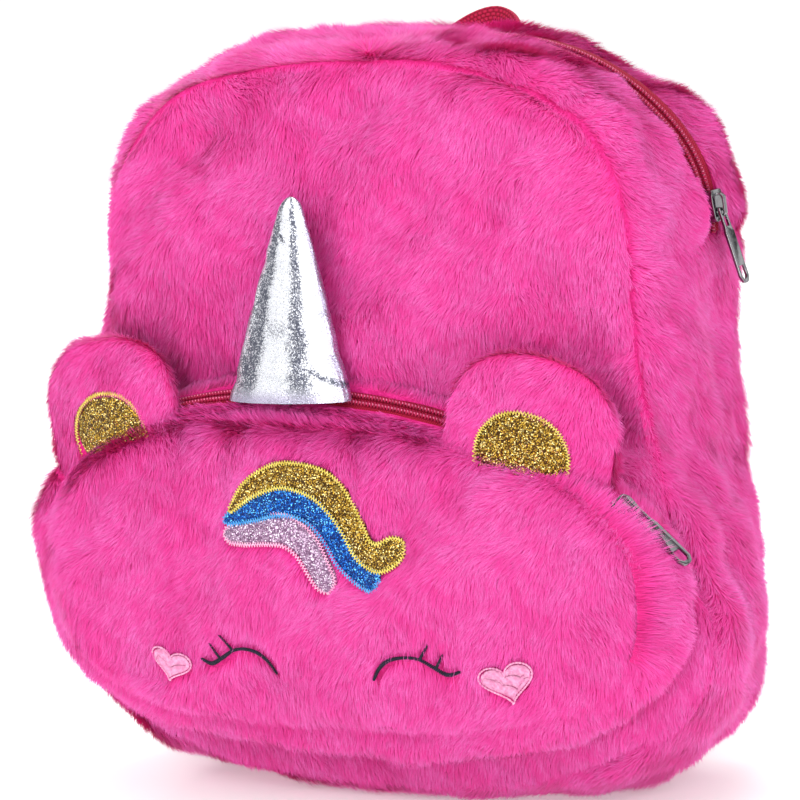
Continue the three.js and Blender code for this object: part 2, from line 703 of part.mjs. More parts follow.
const faceTrimShell = toSolid(faceDish(-seamGap - trimThickness, -seamGap));

function bandPrism(name, grow) {
  return prism(bandOutline(maneBands[name], maneSteps, grow), frontMost, faceSeamY);
}

function addMane() {
  const names = Object.keys(maneBands);
  names.forEach((name, i) => {
    const above = names.slice(0, i);
    const free = above.reduce((solid, other) => {
      return solid.subtract(bandPrism(other, seamGap));
    }, bandPrism(name, 0));
    addPiece(name, toGeometry(faceTrimShell.intersect(free)), name.replace("mane_", ""));
  });
}
addMane();

// Closed eyes with lashes, and hearts on the cheeks, drawn for the right side
const eyeLine = [
  { x: 22, z: 58, half: 0.7 }, { x: 25.5, z: 63, half: 1 }, { x: 30, z: 66.2, half: 1 },
  { x: 36, z: 67.5, half: 0.8 }, { x: 42, z: 67, half: 0.8 }, { x: 48, z: 64, half: 1.1 },
  { x: 54, z: 61.5, half: 1.1 }, { x: 60, z: 63, half: 0.6 },
];
const lashes = [
  [{ x: 42.5, z: 66.5, half: 0.8 }, { x: 44.5, z: 69, half: 0.7 }, { x: 48, z: 73, half: 0.45 }],
  [{ x: 49, z: 63.5, half: 0.8 }, { x: 51, z: 66, half: 0.7 }, { x: 53.5, z: 69.5, half: 0.45 }],
];
const heart = { width: 21, height: 14.5 };
const hearts = [
  { name: "heart_left", x: -75, z: 58.5, turn: -4 },
  { name: "heart_right", x: 77.5, z: 59.5, turn: 12 },
];

function mirrored(rows, sign) {
  return rows.map((row) => ({ ...row, x: sign * row.x }));
}

function addEye(name, sign) {
  const strokes = [bandOutline(mirrored(eyeLine, sign), 18, 0)];
  lashes.forEach((lash) => strokes.push(bandOutline(mirrored(lash, sign), 3, 0)));
  const solids = strokes.map((stroke) => prism(stroke, frontMost, faceSeamY));
  const joined = solids.reduce((sum, next) => sum.add(next));
  addPiece(name, toGeometry(faceTrimShell.intersect(joined)), "thread");
}
addEye("eye_left", -1);
addEye("eye_right", 1);

// Heart curve, drawn in its own units and scaled to the wanted size
const heartCurve = { width: 32, height: 29 };

function heartOutline(row) {
  const turn = THREE.MathUtils.degToRad(row.turn);
  return evenSteps(0, 2 * Math.PI, 24).slice(0, -1).map((angle) => {
    const wide = heart.width / heartCurve.width * 16 * Math.sin(angle) ** 3;
    const lobes = 13 * Math.cos(angle) - 5 * Math.cos(2 * angle);
    const wave = lobes - 2 * Math.cos(3 * angle) - Math.cos(4 * angle);
    const high = heart.height / heartCurve.height * wave;
    return [
      row.x + wide * Math.cos(turn) - high * Math.sin(turn),
      row.z + wide * Math.sin(turn) + high * Math.cos(turn),
    ];
  });
}
hearts.forEach((row) => {
  const solid = faceTrimShell.intersect(prism(heartOutline(row), frontMost, faceSeamY));
  addPiece(row.name, toGeometry(solid), "satin");
});

// Zip sliders and pulls. Each is drawn with X across the zip, Y along it towards its closed end
// and Z out of the tape, from the middle of the tape's face
const runClearance = 0.4;
const slider = {
  length: 12, headHalf: 4.7, tailHalf: 3.6, seat: tapeRecess + seamGap, height: 4.4,
  bridgeHalf: 1.1, bridgeLength: 9, bridgeWall: 0.9,
};
const pull = {
  length: 29, headHalf: 2.6, tailHalf: 3.4, thickness: 1.2, bar: 0.7, windowHalf: 1.6, windowLength: 6,
};
const barHeight = slider.height + pull.thickness / 2 + runClearance;
const bridgeTop = barHeight + pull.bar + runClearance;
const barPlace = -1.6;

function sideProfile(points, halfWidth) {
  const shape = new THREE.Shape(points.map(([y, z]) => new THREE.Vector2(y, z)));
  const geometry = new THREE.ExtrudeGeometry(shape, { depth: 2 * halfWidth, bevelEnabled: false });
  geometry.translate(0, 0, -halfWidth);
  geometry.applyMatrix4(new THREE.Matrix4().makeBasis(
    new THREE.Vector3(0, 1, 0), new THREE.Vector3(0, 0, 1), new THREE.Vector3(1, 0, 0),
  ));
  return toSolid(geometry);
}

function planProfile(points, fromZ, toZ) {
  const shape = new THREE.Shape(points.map(([x, y]) => new THREE.Vector2(x, y)));
  const geometry = new THREE.ExtrudeGeometry(shape, { depth: toZ - fromZ, bevelEnabled: false });
  geometry.translate(0, 0, fromZ);
  return toSolid(geometry);
}

function sliderGeometry() {
  const half = slider.length / 2;
  const plan = [
    [-slider.headHalf, half - 2], [-slider.headHalf + 1.5, half], [slider.headHalf - 1.5, half],
    [slider.headHalf, half - 2], [slider.headHalf, 1], [slider.tailHalf, -half + 1.2],
    [slider.tailHalf - 1, -half], [-slider.tailHalf + 1, -half], [-slider.tailHalf, -half + 1.2],
    [-slider.headHalf, 1],
  ].reverse();
  const channelHalf = coilWidth / 2 + runClearance;
  const channelTop = seamGap + coilHeight + runClearance;
  const body = planProfile(plan, slider.seat, slider.height);
  const channel = planProfile([
    [-channelHalf, -slider.length], [channelHalf, -slider.length],
    [channelHalf, slider.length], [-channelHalf, slider.length],
  ], -1, channelTop);
  const foot = slider.bridgeLength / 2;
  const inner = foot - slider.bridgeWall;
  const sunk = slider.height - slider.bridgeWall;
  const bridge = sideProfile([
    [-foot, sunk], [foot, sunk], [foot, bridgeTop - 0.4], [foot - 1.2, bridgeTop + slider.bridgeWall],
    [-foot + 1.2, bridgeTop + slider.bridgeWall], [-foot, bridgeTop - 0.4],
  ], slider.bridgeHalf);
  const eye = sideProfile([
    [-inner, slider.height], [inner, slider.height], [inner, bridgeTop - 0.7], [inner - 0.8, bridgeTop],
    [-inner + 0.8, bridgeTop], [-inner, bridgeTop - 0.7],
  ], slider.headHalf);
  return toGeometry(body.subtract(channel).add(bridge.subtract(eye)));
}

// The pull hangs from its bar, which is the origin, and points along -Y
function pullGeometry() {
  const half = pull.thickness / 2;
  const windowEnd = -pull.bar - pull.windowLength;
  const end = -pull.length;
  const plan = [
    [-pull.headHalf, pull.bar], [-pull.headHalf, windowEnd], [-pull.tailHalf, windowEnd - 2.5],
    [-pull.tailHalf, end + 2.6], [-pull.tailHalf + 1.4, end + 0.5], [-pull.tailHalf + 2.6, end],
    [pull.tailHalf - 2.6, end], [pull.tailHalf - 1.4, end + 0.5], [pull.tailHalf, end + 2.6],
    [pull.tailHalf, windowEnd - 2.5], [pull.headHalf, windowEnd], [pull.headHalf, pull.bar],
  ];
  const upper = [
    [-pull.windowHalf, -pull.bar], [pull.windowHalf, -pull.bar],
    [pull.windowHalf, windowEnd], [-pull.windowHalf, windowEnd],
  ];
  const lower = [
    [-2.1, end + 6.8], [2.1, end + 6.8], [2.1, end + 3],
    [1.2, end + 1.7], [-1.2, end + 1.7], [-2.1, end + 3],
  ];
  const plate = planProfile(plan, -half, half);
  return toGeometry([upper, lower].reduce((solid, hole) => {
    return solid.subtract(planProfile(hole, -pull.thickness, pull.thickness));
  }, plate));
}

function tapeFrame(origin, ahead, beside) {
  const along = ahead.clone().sub(origin).normalize();
  const across = beside.clone().sub(origin);
  across.addScaledVector(along, -across.dot(along)).normalize();
  const out = new THREE.Vector3().crossVectors(across, along);
  return new THREE.Matrix4().makeBasis(across, along, out).setPosition(origin);
}

function addZipHardware(prefix, frame, rest) {
  addPiece(`${prefix}_slider`, sliderGeometry().applyMatrix4(frame), "metal");
  const hanging = new THREE.Matrix4().makeRotationX(-THREE.MathUtils.degToRad(rest));
  hanging.premultiply(new THREE.Matrix4().makeTranslation(0, barPlace, barHeight)).premultiply(frame);
  addPiece(`${prefix}_pull`, pullGeometry(), "metal");
  group.children.at(-1).applyMatrix4(hanging);
}

const mainPullRest = 12;
const pocketPullRest = 0;
addZipHardware("main_zip", tapeFrame(
  gussetPoint(mainSliderPlace, mainZipY, -tapeRecess),
  gussetPoint(mainSliderPlace + 0.02, mainZipY, -tapeRecess),
  gussetPoint(mainSliderPlace, mainZipY + coilWidth / 2, -tapeRecess),
), mainPullRest);
addZipHardware("pocket_zip", tapeFrame(
  pocketPoint(pocketSliderAngle, pocketZipMiddle, -tapeRecess),
  pocketPoint(pocketSliderAngle + 0.02, pocketZipMiddle, -tapeRecess),
  pocketPoint(pocketSliderAngle, pocketZipMiddle + coilWidth / 2, -tapeRecess),
), pocketPullRest);

// Webbing: a flat band swept along a smooth line, its width turning from row to row
const webbingWall = 2;
const handleWidth = 18;
const strapWidth = 25;

function webbingBody(rows, width, steps) {
  const line = new THREE.CatmullRomCurve3(rows.map((row) => row.at), false, "centripetal");
  const facing = new THREE.CatmullRomCurve3(rows.map((row) => row.across), false, "centripetal");
  const sections = evenSteps(0, 1, steps).map((share) => {
    const middle = line.getPoint(share);
    const along = line.getTangent(share);
    const across = facing.getPoint(share);
    across.addScaledVector(along, -across.dot(along)).setLength(width / 2);
    const out = new THREE.Vector3().crossVectors(along, across).setLength(webbingWall / 2);
    return [
      middle.clone().add(across).add(out), middle.clone().sub(across).add(out),
      middle.clone().sub(across).sub(out), middle.clone().add(across).sub(out),
    ];
  });
  return { solid: toSolid(loftBody(sections)), line };
}

// Everything in front of the back panel's outer face, kept clear by the seam gap
const backSpace = toSolid(panelBody(backOutline, backRings, backPanelY, seamGap, -bagDepth));

function behindPanel(x, z, clearance) {
  const share = shareToOutline(backOutline, x, z);
  return new THREE.Vector3(x, backPanelY(x, z, share) + clearance, z);
}

const seat = webbingWall / 2 + 2 * seamGap;

// Grab handle: webbing bowed back from two feet on the back panel, its width about upright
const handle = {
  x: 3, footSpan: 22, footZ: 262, footLength: 12, footTurn: THREE.MathUtils.degToRad(45),
  shoulderSpan: 12, shoulderY: 61, shoulderZ: 281, bowY: 68, middleZ: 287.5,
};

function addHandle() {
  const side = Math.sin(handle.footTurn);
  const rise = Math.cos(handle.footTurn);
  const footX = (sign, share) => handle.x + sign * (handle.footSpan - share * handle.footLength * side);
  const leg = (sign) => [
    {
      at: behindPanel(footX(sign, 0), handle.footZ, seat),
      across: new THREE.Vector3(sign * rise, 0, side),
    },
    {
      at: behindPanel(footX(sign, 1), handle.footZ + handle.footLength * rise, seat),
      across: new THREE.Vector3(sign * rise, 0, side),
    },
    {
      at: new THREE.Vector3(handle.x + sign * handle.shoulderSpan, handle.shoulderY, handle.shoulderZ),
      across: new THREE.Vector3(sign * 0.25, 0.2, 0.95),
    },
  ];
  const middle = {
    at: new THREE.Vector3(handle.x, handle.bowY, handle.middleZ),
    across: new THREE.Vector3(0, 0.35, 0.94),
  };
  const band = webbingBody([...leg(-1), middle, ...leg(1).reverse()], handleWidth, 24);
  addPiece("grab_handle", toGeometry(band.solid.subtract(backSpace)), "webbing");
}
addHandle();

// Shoulder straps bow back from under the handle to the lower corners
const strap = { highX: 34, highZ: 250, lowX: 86, lowZ: 40, bowY: 92, endLength: 14 };
const adjuster = { share: 0.64, wall: 2.6, length: 12, thickness: 1.6 };

function addStrap(side, sign) {
  const wide = new THREE.Vector3(1, 0, 0);
  const high = { x: sign * strap.highX, z: strap.highZ };
  const low = { x: sign * strap.lowX, z: strap.lowZ };
  const endShare = strap.endLength / (strap.highZ - strap.lowZ);
  const sideways = (share) => THREE.MathUtils.lerp(high.x, low.x, share ** 1.5);
  const upright = (share) => THREE.MathUtils.lerp(high.z, low.z, share);
  const onPanel = (share) => behindPanel(sideways(share), upright(share), seat);
  const bowed = (share, part) => {
    const y = THREE.MathUtils.lerp(halfDepth, strap.bowY, part);
    return new THREE.Vector3(sideways(share), y, upright(share));
  };
  const rows = [
    onPanel(0), onPanel(endShare), bowed(0.22, 0.72), bowed(0.5, 1), bowed(0.76, 0.7),
    onPanel(1 - endShare), onPanel(1),
  ].map((at) => ({ at, across: wide }));
  const band = webbingBody(rows, strapWidth, 30);
  addPiece(`shoulder_strap_${side}`, toGeometry(band.solid.subtract(backSpace)), "webbing");
  const along = band.line.getTangent(adjuster.share);
  const across = wide.clone().addScaledVector(along, -wide.dot(along)).normalize();
  const out = new THREE.Vector3().crossVectors(along, across);
  const hole = [strapWidth / 2 + runClearance, webbingWall / 2 + 2 * runClearance];
  const outer = [hole[0] + adjuster.wall, hole[1] + adjuster.thickness];
  const box = ([x, z]) => [[-x, -z], [x, -z], [x, z], [-x, z]];
  const half = adjuster.length / 2;
  const frame = planProfile(box(outer), -half, half).subtract(planProfile(box(hole), -half - 1, half + 1));
  const place = new THREE.Matrix4().makeBasis(across, out, along.clone());
  place.setPosition(band.line.getPoint(adjuster.share));
  addPiece(`strap_adjuster_${side}`, toGeometry(frame).applyMatrix4(place), "plastic");
}
addStrap("left", -1);
addStrap("right", 1);

export default group;
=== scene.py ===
"""Dressed model of a child's plush backpack with a sleepy unicorn face on its front pocket.

Sizes are in millimetres in the classes and become metres as each mesh is made.
"""

import logging
import math
from dataclasses import dataclass
from enum import Enum
from functools import cache
from typing import Callable, Iterable, Sequence

import bmesh
import bpy
import numpy as np
from bpy.types import ID, Material, Mesh, Node, NodeSocket, NodeTree, Object
from mathutils import Matrix, Vector


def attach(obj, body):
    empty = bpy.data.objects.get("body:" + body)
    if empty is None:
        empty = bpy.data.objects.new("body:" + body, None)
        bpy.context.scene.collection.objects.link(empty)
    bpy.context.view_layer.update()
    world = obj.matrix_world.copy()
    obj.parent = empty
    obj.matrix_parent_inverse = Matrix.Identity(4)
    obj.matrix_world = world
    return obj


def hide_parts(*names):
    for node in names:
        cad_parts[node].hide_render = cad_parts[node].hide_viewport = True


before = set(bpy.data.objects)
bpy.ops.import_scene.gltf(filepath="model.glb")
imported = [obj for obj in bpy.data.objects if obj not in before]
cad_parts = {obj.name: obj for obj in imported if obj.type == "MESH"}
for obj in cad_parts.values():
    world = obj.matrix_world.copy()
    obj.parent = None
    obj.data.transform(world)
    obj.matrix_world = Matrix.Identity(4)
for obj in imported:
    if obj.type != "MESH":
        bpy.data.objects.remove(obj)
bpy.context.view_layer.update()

log = logging.getLogger("backpack")
Array = np.ndarray
MM = 0.001
BAG = "bag"
PILE_MAP = "OFBake"
CLOTH_MAP = "cloth_mm"


def smoothstep(value: Array, low: float, high: float) -> Array:
    """Rise smoothly from 0 at low to 1 at high."""
    share = np.clip((np.asarray(value, float) - low) / (high - low), 0, 1)
    return share * share * (3 - 2 * share)


def signed_power(value: Array, power: float) -> Array:
    """Raise to a power and keep the sign."""
    return np.sign(value) * np.abs(value) ** power


def bump(distance: Array) -> Array:
    """Bell curve that is 1 at no distance."""
    return np.exp(-np.square(distance))


def unit(vectors: Array) -> Array:
    """Scale vectors to length 1."""
    return vectors / np.maximum(np.linalg.norm(vectors, axis=-1, keepdims=True), 1e-9)


def run_along(points: Array) -> Array:
    """Length of a line of points up to each of them."""
    return np.concatenate([[0], np.cumsum(np.linalg.norm(np.diff(points, axis=0), axis=1))])


def upright(flat: Array) -> Array:
    """Points at depth 0 over X and Z places."""
    return np.stack([flat[..., 0], 0 * flat[..., 0], flat[..., 1]], axis=-1)


def along_y(points: Array, y: float) -> Array:
    """The same direction along Y for each point."""
    return np.zeros_like(points) + [0, y, 0]


class SoftNoise:
    """Smooth three-dimensional noise from a few waves, between about -1 and 1."""

    def __init__(self, seed: int, wavelength: float, waves: int = 14) -> None:
        """Draw the waves.

        Args:
            seed: Seed of the random draws.
            wavelength: Middle length of a wave, in millimetres.
            waves: How many waves are summed.
        """
        draws = np.random.default_rng(seed)
        lengths = wavelength * draws.uniform(0.7, 1.5, waves)
        self.vectors = unit(draws.normal(size=(waves, 3))) * (2 * math.pi / lengths)[:, None]
        self.phases = draws.uniform(0, 2 * math.pi, waves)
        self.scale = 1.6 / math.sqrt(waves)

    def __call__(self, points: Array) -> Array:
        """Value at each point.

        Args:
            points: Array whose last axis is x, y, z.

        Returns:
            One number for each point.
        """
        return np.sin(points @ self.vectors.T + self.phases).sum(axis=-1) * self.scale


@dataclass(frozen=True)
class Outline:
    """Outline of one panel of the bag, symmetrical before the shoulders lean."""

    low_half: float
    low_z: float
    high_half: float
    high_z: float
    top_z: float
    floor_z: float
    low_power: float
    high_power: float
    flare_power: float
    waist: float

    def right(self, place: Array) -> Array:
        """Point of the right side at a place from 0, the base, to 3, the top.

        Args:
            place: Places along the side.

        Returns:
            X and Z of each place.
        """
        place = np.asarray(place, float)
        low = np.clip(place, 0, 1) * math.pi / 2
        low_x = self.low_half * np.sin(low) ** (2 / self.low_power)
        low_z = self.low_z - (self.low_z - self.floor_z) * np.maximum(0, np.cos(low)) ** (2 / self.low_power)
        share = 2 - np.clip(place, 1, 2)
        mid_x = self.high_half + (self.low_half - self.high_half) * share ** self.flare_power
        mid_x = mid_x - self.waist * np.sin(math.pi * share)
        mid_z = self.high_z + (self.low_z - self.high_z) * share
        high = (np.clip(place, 2, 3) - 2) * math.pi / 2
        high_x = self.high_half * np.maximum(0, np.cos(high)) ** (2 / self.high_power)
        high_z = self.high_z + (self.top_z - self.high_z) * np.sin(high) ** (2 / self.high_power)
        x = np.where(place <= 1, low_x, np.where(place <= 2, mid_x, high_x))
        z = np.where(place <= 1, low_z, np.where(place <= 2, mid_z, high_z))
        return np.stack([x, z], axis=-1)


@dataclass(frozen=True)
class Face:
    """Outline of the face pocket at its seam or at its root."""

    half: float
    up: float
    down: float
    up_power: float
    down_power: float


@dataclass(frozen=True)
class BagForm:
    """The bag's shape, with the same sizes as its solids."""

    wall: float = 3.0
    gap: float = 0.3
    depth: float = 80.0
    low_spread: float = 9.0
    low_bulge: float = 13.0
    side_bulge: float = 7.0
    high_bulge: float = 5.0
    front_bulge: float = 18.0
    back_bulge: float = 7.0
    bulge_power: float = 2.5
    middle_z: float = 140.0
    lean: float = 3.0
    front: Outline = Outline(149, 78, 114.5, 212, 286, 8, 2.25, 2.6, 2.2, 0)
    back: Outline = Outline(122, 66, 117.5, 214, 286, 8, 3, 2.4, 1, 5)
    panel_dents: tuple = (
        (-0.22, 0.585, 3.2, 0.45, 0.2),
        (0.42, 0.56, 2.0, 0.6, 0.17),
        (-0.78, 0.74, 1.3, 0.5, 0.3),
        (0.62, 0.8, 1.0, 1.4, 0.17),
        (-0.1, 0.93, 4.0, 0.6, 0.17),
    )
    gusset_folds: tuple = (
        (1.25, 0.3, 0.5, 0.09, 0.4),
        (1.6, 0.62, 0.34, 0.1, 0.3),
        (0.85, 0.55, 0.2, 0.12, 0.3),
        (4.1, 0.2, 0.12, 0.35, 0.6),
        (4.8, 0.45, 0.4, 0.1, 0.4),
    )
    face_dents: tuple = (
        (-0.72, 0.62, 1.6, 2.2, 0.2),
        (0.76, 0.55, 1.5, 2.4, 0.2),
        (-0.4, 1.45, 1.4, 1.6, 0.17),
        (0.36, 1.42, 1.6, 1.4, 0.14),
    )
    tape_width: float = 12.0
    zip_y: float = 10.0
    zip_bow: float = 8.0
    zip_end: float = 1.985
    slider_place: float = 2.045
    recess: float = 0.8
    pocket_tape: float = 9.0
    face_z: float = 91.0
    seam: Face = Face(131, 65, 55, 2.3, 2.7)
    base: Face = Face(135, 77, 58, 2, 2.6)
    brow_tilt: float = 6.0
    face_y: float = -76.0
    top_draw: float = 3.0
    face_bulge: float = 12.0
    pocket_side_bulge: float = 7.0
    pocket_top_bulge: float = 1.5
    zip_from: float = math.radians(18)
    zip_to: float = math.radians(156)
    slider_angle: float = math.radians(25)
    root: float = 6.0

    @property
    def half(self) -> float:
        """Half of the bag's depth at its top."""
        return self.depth / 2

    def bow(self, place: Array) -> Array:
        """How far the main zip bows back at a place; less than zero is forwards at the shoulders."""
        turn = np.mod(place, 6.0)
        return -self.zip_bow * bump((np.where(turn <= 3, turn, 6 - turn) - 2.42) / 0.27)

    def outline_point(self, outline: Outline, place: Array) -> Array:
        """Point of a whole outline, whose places run from 0 to 6.

        Args:
            outline: Front or back outline.
            place: Places, of any turn.

        Returns:
            X and Z of each place.
        """
        turn = np.mod(place, 6.0)
        point = outline.right(np.where(turn <= 3, turn, 6 - turn))
        sign = np.where(turn <= 3, 1.0, -1.0)
        lean = self.lean * smoothstep(point[..., 1], self.front.low_z, self.front.high_z)
        return np.stack([sign * point[..., 0] + lean, point[..., 1]], axis=-1)

    def outline_normal(self, outline: Outline, place: Array) -> Array:
        """Outward direction of an outline in X and Z."""
        along = self.outline_point(outline, place + 0.02) - self.outline_point(outline, place - 0.02)
        return unit(np.stack([along[..., 1], -along[..., 0]], axis=-1))

    def places(self, start: float, end: float, step: float) -> Array:
        """Places that lie evenly along the front outline.

        Args:
            start: First place.
            end: Last place.
            step: Distance between two of them, in millimetres.

        Returns:
            The places, with both ends.
        """
        fine = np.linspace(start, end, 6000)
        points = self.outline_point(self.front, fine)
        run = run_along(points)
        return np.interp(np.linspace(0, run[-1], max(3, round(run[-1] / step))), run, fine)

    def front_seam_y(self, z: Array) -> Array:
        """Depth of the seam between the front panel and the gusset."""
        return -self.half - self.low_spread * (1 - smoothstep(z, self.front.low_z, self.front.high_z))

    def dents(self, rows: tuple, x: Array, z: Array, half: float, height: float, bulge: float) -> Array:
        """Depth pressed in by a table of dents.

        Args:
            rows: Each dent's x, z, reach across, reach up and depth, as shares.
            x: Places across.
            z: Heights.
            half: Width that the places are shares of.
            height: Height that they are shares of.
            bulge: Bulge that the reaches and depths are shares of.

        Returns:
            Depth at each place.
        """
        total = np.zeros_like(x)
        for at_x, at_z, reach_x, reach_z, depth in rows:
            far = np.hypot((x - at_x * half) / (reach_x * bulge), (z - at_z * height) / (reach_z * bulge))
            total = total + depth * bulge * bump(far)
        return total

    def share_at(self, outline: Outline, x: Array, z: Array) -> Array:
        """How far points lie from the middle of a panel towards its outline, from 0 to 1."""
        fine = np.linspace(0, 3, 4000)
        edge = outline.right(fine)
        turns = np.arctan2(edge[:, 0], -(edge[:, 1] - self.middle_z))
        reach = np.hypot(edge[:, 0], edge[:, 1] - self.middle_z)
        turn = np.abs(np.arctan2(x, -(z - self.middle_z)))
        return np.minimum(1, np.hypot(x, z - self.middle_z) / np.interp(turn, turns, reach))

    def front_y(self, x: Array, z: Array, share: Array) -> Array:
        """Depth of the front panel."""
        dents = self.dents(self.panel_dents, x, z, self.front.low_half, self.front.top_z, self.front_bulge)
        held = 1 - share ** self.bulge_power
        return self.front_seam_y(z) - self.front_bulge * held + dents * held

    def back_y(self, share: Array) -> Array:
        """Depth of the back panel."""
        return self.half + self.back_bulge * (1 - share ** self.bulge_power)

    def gusset(self, place: Array, y: Array, offset: float | Array = 0.0) -> Array:
        """Point of the gusset.

        Args:
            place: Places along the outline.
            y: Depths.
            offset: Distance outwards from the cloth's outer face.

        Returns:
            The points.
        """
        front = self.outline_point(self.front, place)
        seam = self.front_seam_y(front[..., 1])
        across = (y - seam) / (self.half - seam)
        mix = across[..., None]
        point = front * (1 - mix) + self.outline_point(self.back, place) * mix
        normal = unit(
            self.outline_normal(self.front, place) * (1 - mix) + self.outline_normal(self.back, place) * mix
        )
        down = np.maximum(0, -normal[..., 1]) ** 2
        up = np.maximum(0, normal[..., 1]) ** 2
        full = self.side_bulge + (self.low_bulge - self.side_bulge) * down
        full = full + (self.high_bulge - self.side_bulge) * up
        fold = np.zeros_like(across)
        for along, over, reach_along, reach_over, depth in self.gusset_folds:
            far = np.hypot((np.mod(place, 6.0) - along) / reach_along, (across - over) / reach_over)
            fold = fold + depth * self.side_bulge * bump(far)
        round_out = 4 * across * (1 - across)
        push = full * round_out - fold * np.sqrt(np.maximum(0, round_out))
        point = point + normal * push[..., None]
        z = np.maximum(0, point[..., 1])
        offset = np.asarray(offset)
        return np.stack([point[..., 0] + normal[..., 0] * offset, y, z + normal[..., 1] * offset], axis=-1)

    def face_edge(self, face: Face, angle: Array) -> Array:
        """X and Z of the face's outline at an angle, from 0 on the right over the top."""
        sine, cosine = np.sin(angle), np.cos(angle)
        power = np.where(sine >= 0, face.up_power, face.down_power)
        rise = np.where(sine >= 0, face.up, face.down)
        x = face.half * np.sign(cosine) * np.abs(cosine) ** (2 / power)
        z = self.face_z + rise * np.sign(sine) * np.abs(sine) ** (2 / power)
        tilt = np.where(sine > 0, self.brow_tilt * np.sin(2 * angle), 0)
        return np.stack([x, z - tilt], axis=-1)

    def face_normal(self, angle: Array) -> Array:
        """Outward direction of the face's outline in X and Z."""
        along = self.face_edge(self.seam, angle + 0.02) - self.face_edge(self.seam, angle - 0.02)
        return unit(np.stack([along[..., 1], -along[..., 0]], axis=-1))

    def seam_y(self, angle: Array) -> Array:
        """Depth of the face's seam."""
        return self.face_y + self.top_draw * np.maximum(0, np.sin(angle)) ** 2

    def face(self, angle: Array, share: Array, offset: float | Array = 0.0) -> Array:
        """Point of the face, from its middle at share 0 to its seam at share 1."""
        edge = self.face_edge(self.seam, angle)
        x = edge[..., 0] * share
        z = self.face_z + (edge[..., 1] - self.face_z) * share
        held = 1 - share ** self.bulge_power
        dents = self.dents(self.face_dents, x, z, self.seam.half, self.face_z, self.face_bulge)
        draw = (self.seam_y(angle) - self.face_y) * share ** 2
        return np.stack([x, self.face_y + draw - self.face_bulge * held + dents * held - offset, z], axis=-1)

    def face_at(self, x: Array, z: Array, offset: float | Array = 0.0) -> Array:
        """Point of the face over a place given in X and Z."""
        fine = np.linspace(-math.pi, math.pi, 6000)
        edge = self.face_edge(self.seam, fine)
        polar = np.arctan2(edge[:, 1] - self.face_z, edge[:, 0])
        order = np.argsort(polar)
        angle = np.interp(np.arctan2(z - self.face_z, x), polar[order], fine[order])
        reach = np.hypot(edge[:, 0], edge[:, 1] - self.face_z)
        share = np.hypot(x, z - self.face_z) / np.interp(angle, fine, reach)
        return self.face(angle, np.minimum(share, 1.0), offset)

    def root_y(self, angle: Array) -> Array:
        """Depth at which the pocket meets the front panel."""
        base = self.face_edge(self.base, angle)
        share = self.share_at(self.front, base[..., 0], base[..., 1])
        return self.front_y(base[..., 0], base[..., 1], share)

    def pocket_depth(self, angle: Array) -> Array:
        """Distance from the face's seam back to the front panel."""
        edge = self.face_edge(self.seam, angle)
        base = self.face_edge(self.base, angle)
        return np.hypot(self.root_y(angle) - self.seam_y(angle), np.linalg.norm(base - edge, axis=-1))

    def pocket_side(self, angle: Array, distance: Array) -> Array:
        """Point of the pocket's side at a distance back from the face's seam."""
        share = distance / self.pocket_depth(angle)
        mix = share[..., None]
        point = self.face_edge(self.seam, angle) * (1 - mix) + self.face_edge(self.base, angle) * mix
        normal = self.face_normal(angle)
        up = np.maximum(0, normal[..., 1]) ** 2
        full = self.pocket_side_bulge + (self.pocket_top_bulge - self.pocket_side_bulge) * up
        point = point + normal * (4 * full * np.maximum(0, share * (1 - share)))[..., None]
        start = self.seam_y(angle)
        return np.stack([point[..., 0], start + (self.root_y(angle) - start) * share, point[..., 1]], axis=-1)

    def pocket_normal(self, angle: Array, distance: Array) -> Array:
        """Outward direction of the pocket's side."""
        around = self.pocket_side(angle + 0.02, distance) - self.pocket_side(angle - 0.02, distance)
        back = self.pocket_side(angle, distance + 0.5) - self.pocket_side(angle, distance - 0.5)
        return unit(np.cross(back, around))

    def pocket(self, angle: Array, distance: Array, offset: float | Array = 0.0) -> Array:
        """Point of the pocket's side, moved outwards by an offset."""
        shift = self.pocket_normal(angle, distance) * np.asarray(offset)[..., None]
        return self.pocket_side(angle, distance) + shift


FORM = BagForm()


class Smooth:
    """Smooth line through rows of numbers, spaced by the root of their distances."""

    def __init__(self, rows: Sequence[Sequence[float]]) -> None:
        """Keep the rows."""
        self.rows = np.asarray(rows, float)

    def at(self, shares: Array) -> Array:
        """Points at shares of the line from 0 to 1.

        Args:
            shares: Places along the line.

        Returns:
            One row of numbers for each share.
        """
        rows, last = self.rows, len(self.rows) - 1
        out = []
        for share in np.atleast_1d(shares):
            whole = min(int(share * last), last - 1)
            part = share * last - whole
            p1, p2 = rows[whole], rows[whole + 1]
            p0 = rows[whole - 1] if whole > 0 else 2 * p1 - p2
            p3 = rows[whole + 2] if whole + 2 <= last else 2 * p2 - p1
            d1 = max(np.linalg.norm(p2 - p1) ** 0.5, 1e-4)
            d0 = max(np.linalg.norm(p1 - p0) ** 0.5, 1e-4)
            d2 = max(np.linalg.norm(p3 - p2) ** 0.5, 1e-4)
            t1 = ((p1 - p0) / d0 - (p2 - p0) / (d0 + d1) + (p2 - p1) / d1) * d1
            t2 = ((p2 - p1) / d1 - (p3 - p1) / (d1 + d2) + (p3 - p2) / d2) * d1
            c2 = -3 * p1 + 3 * p2 - 2 * t1 - t2
            c3 = 2 * p1 - 2 * p2 + t1 + t2
            out.append(p1 + t1 * part + c2 * part**2 + c3 * part**3)
        return np.array(out)


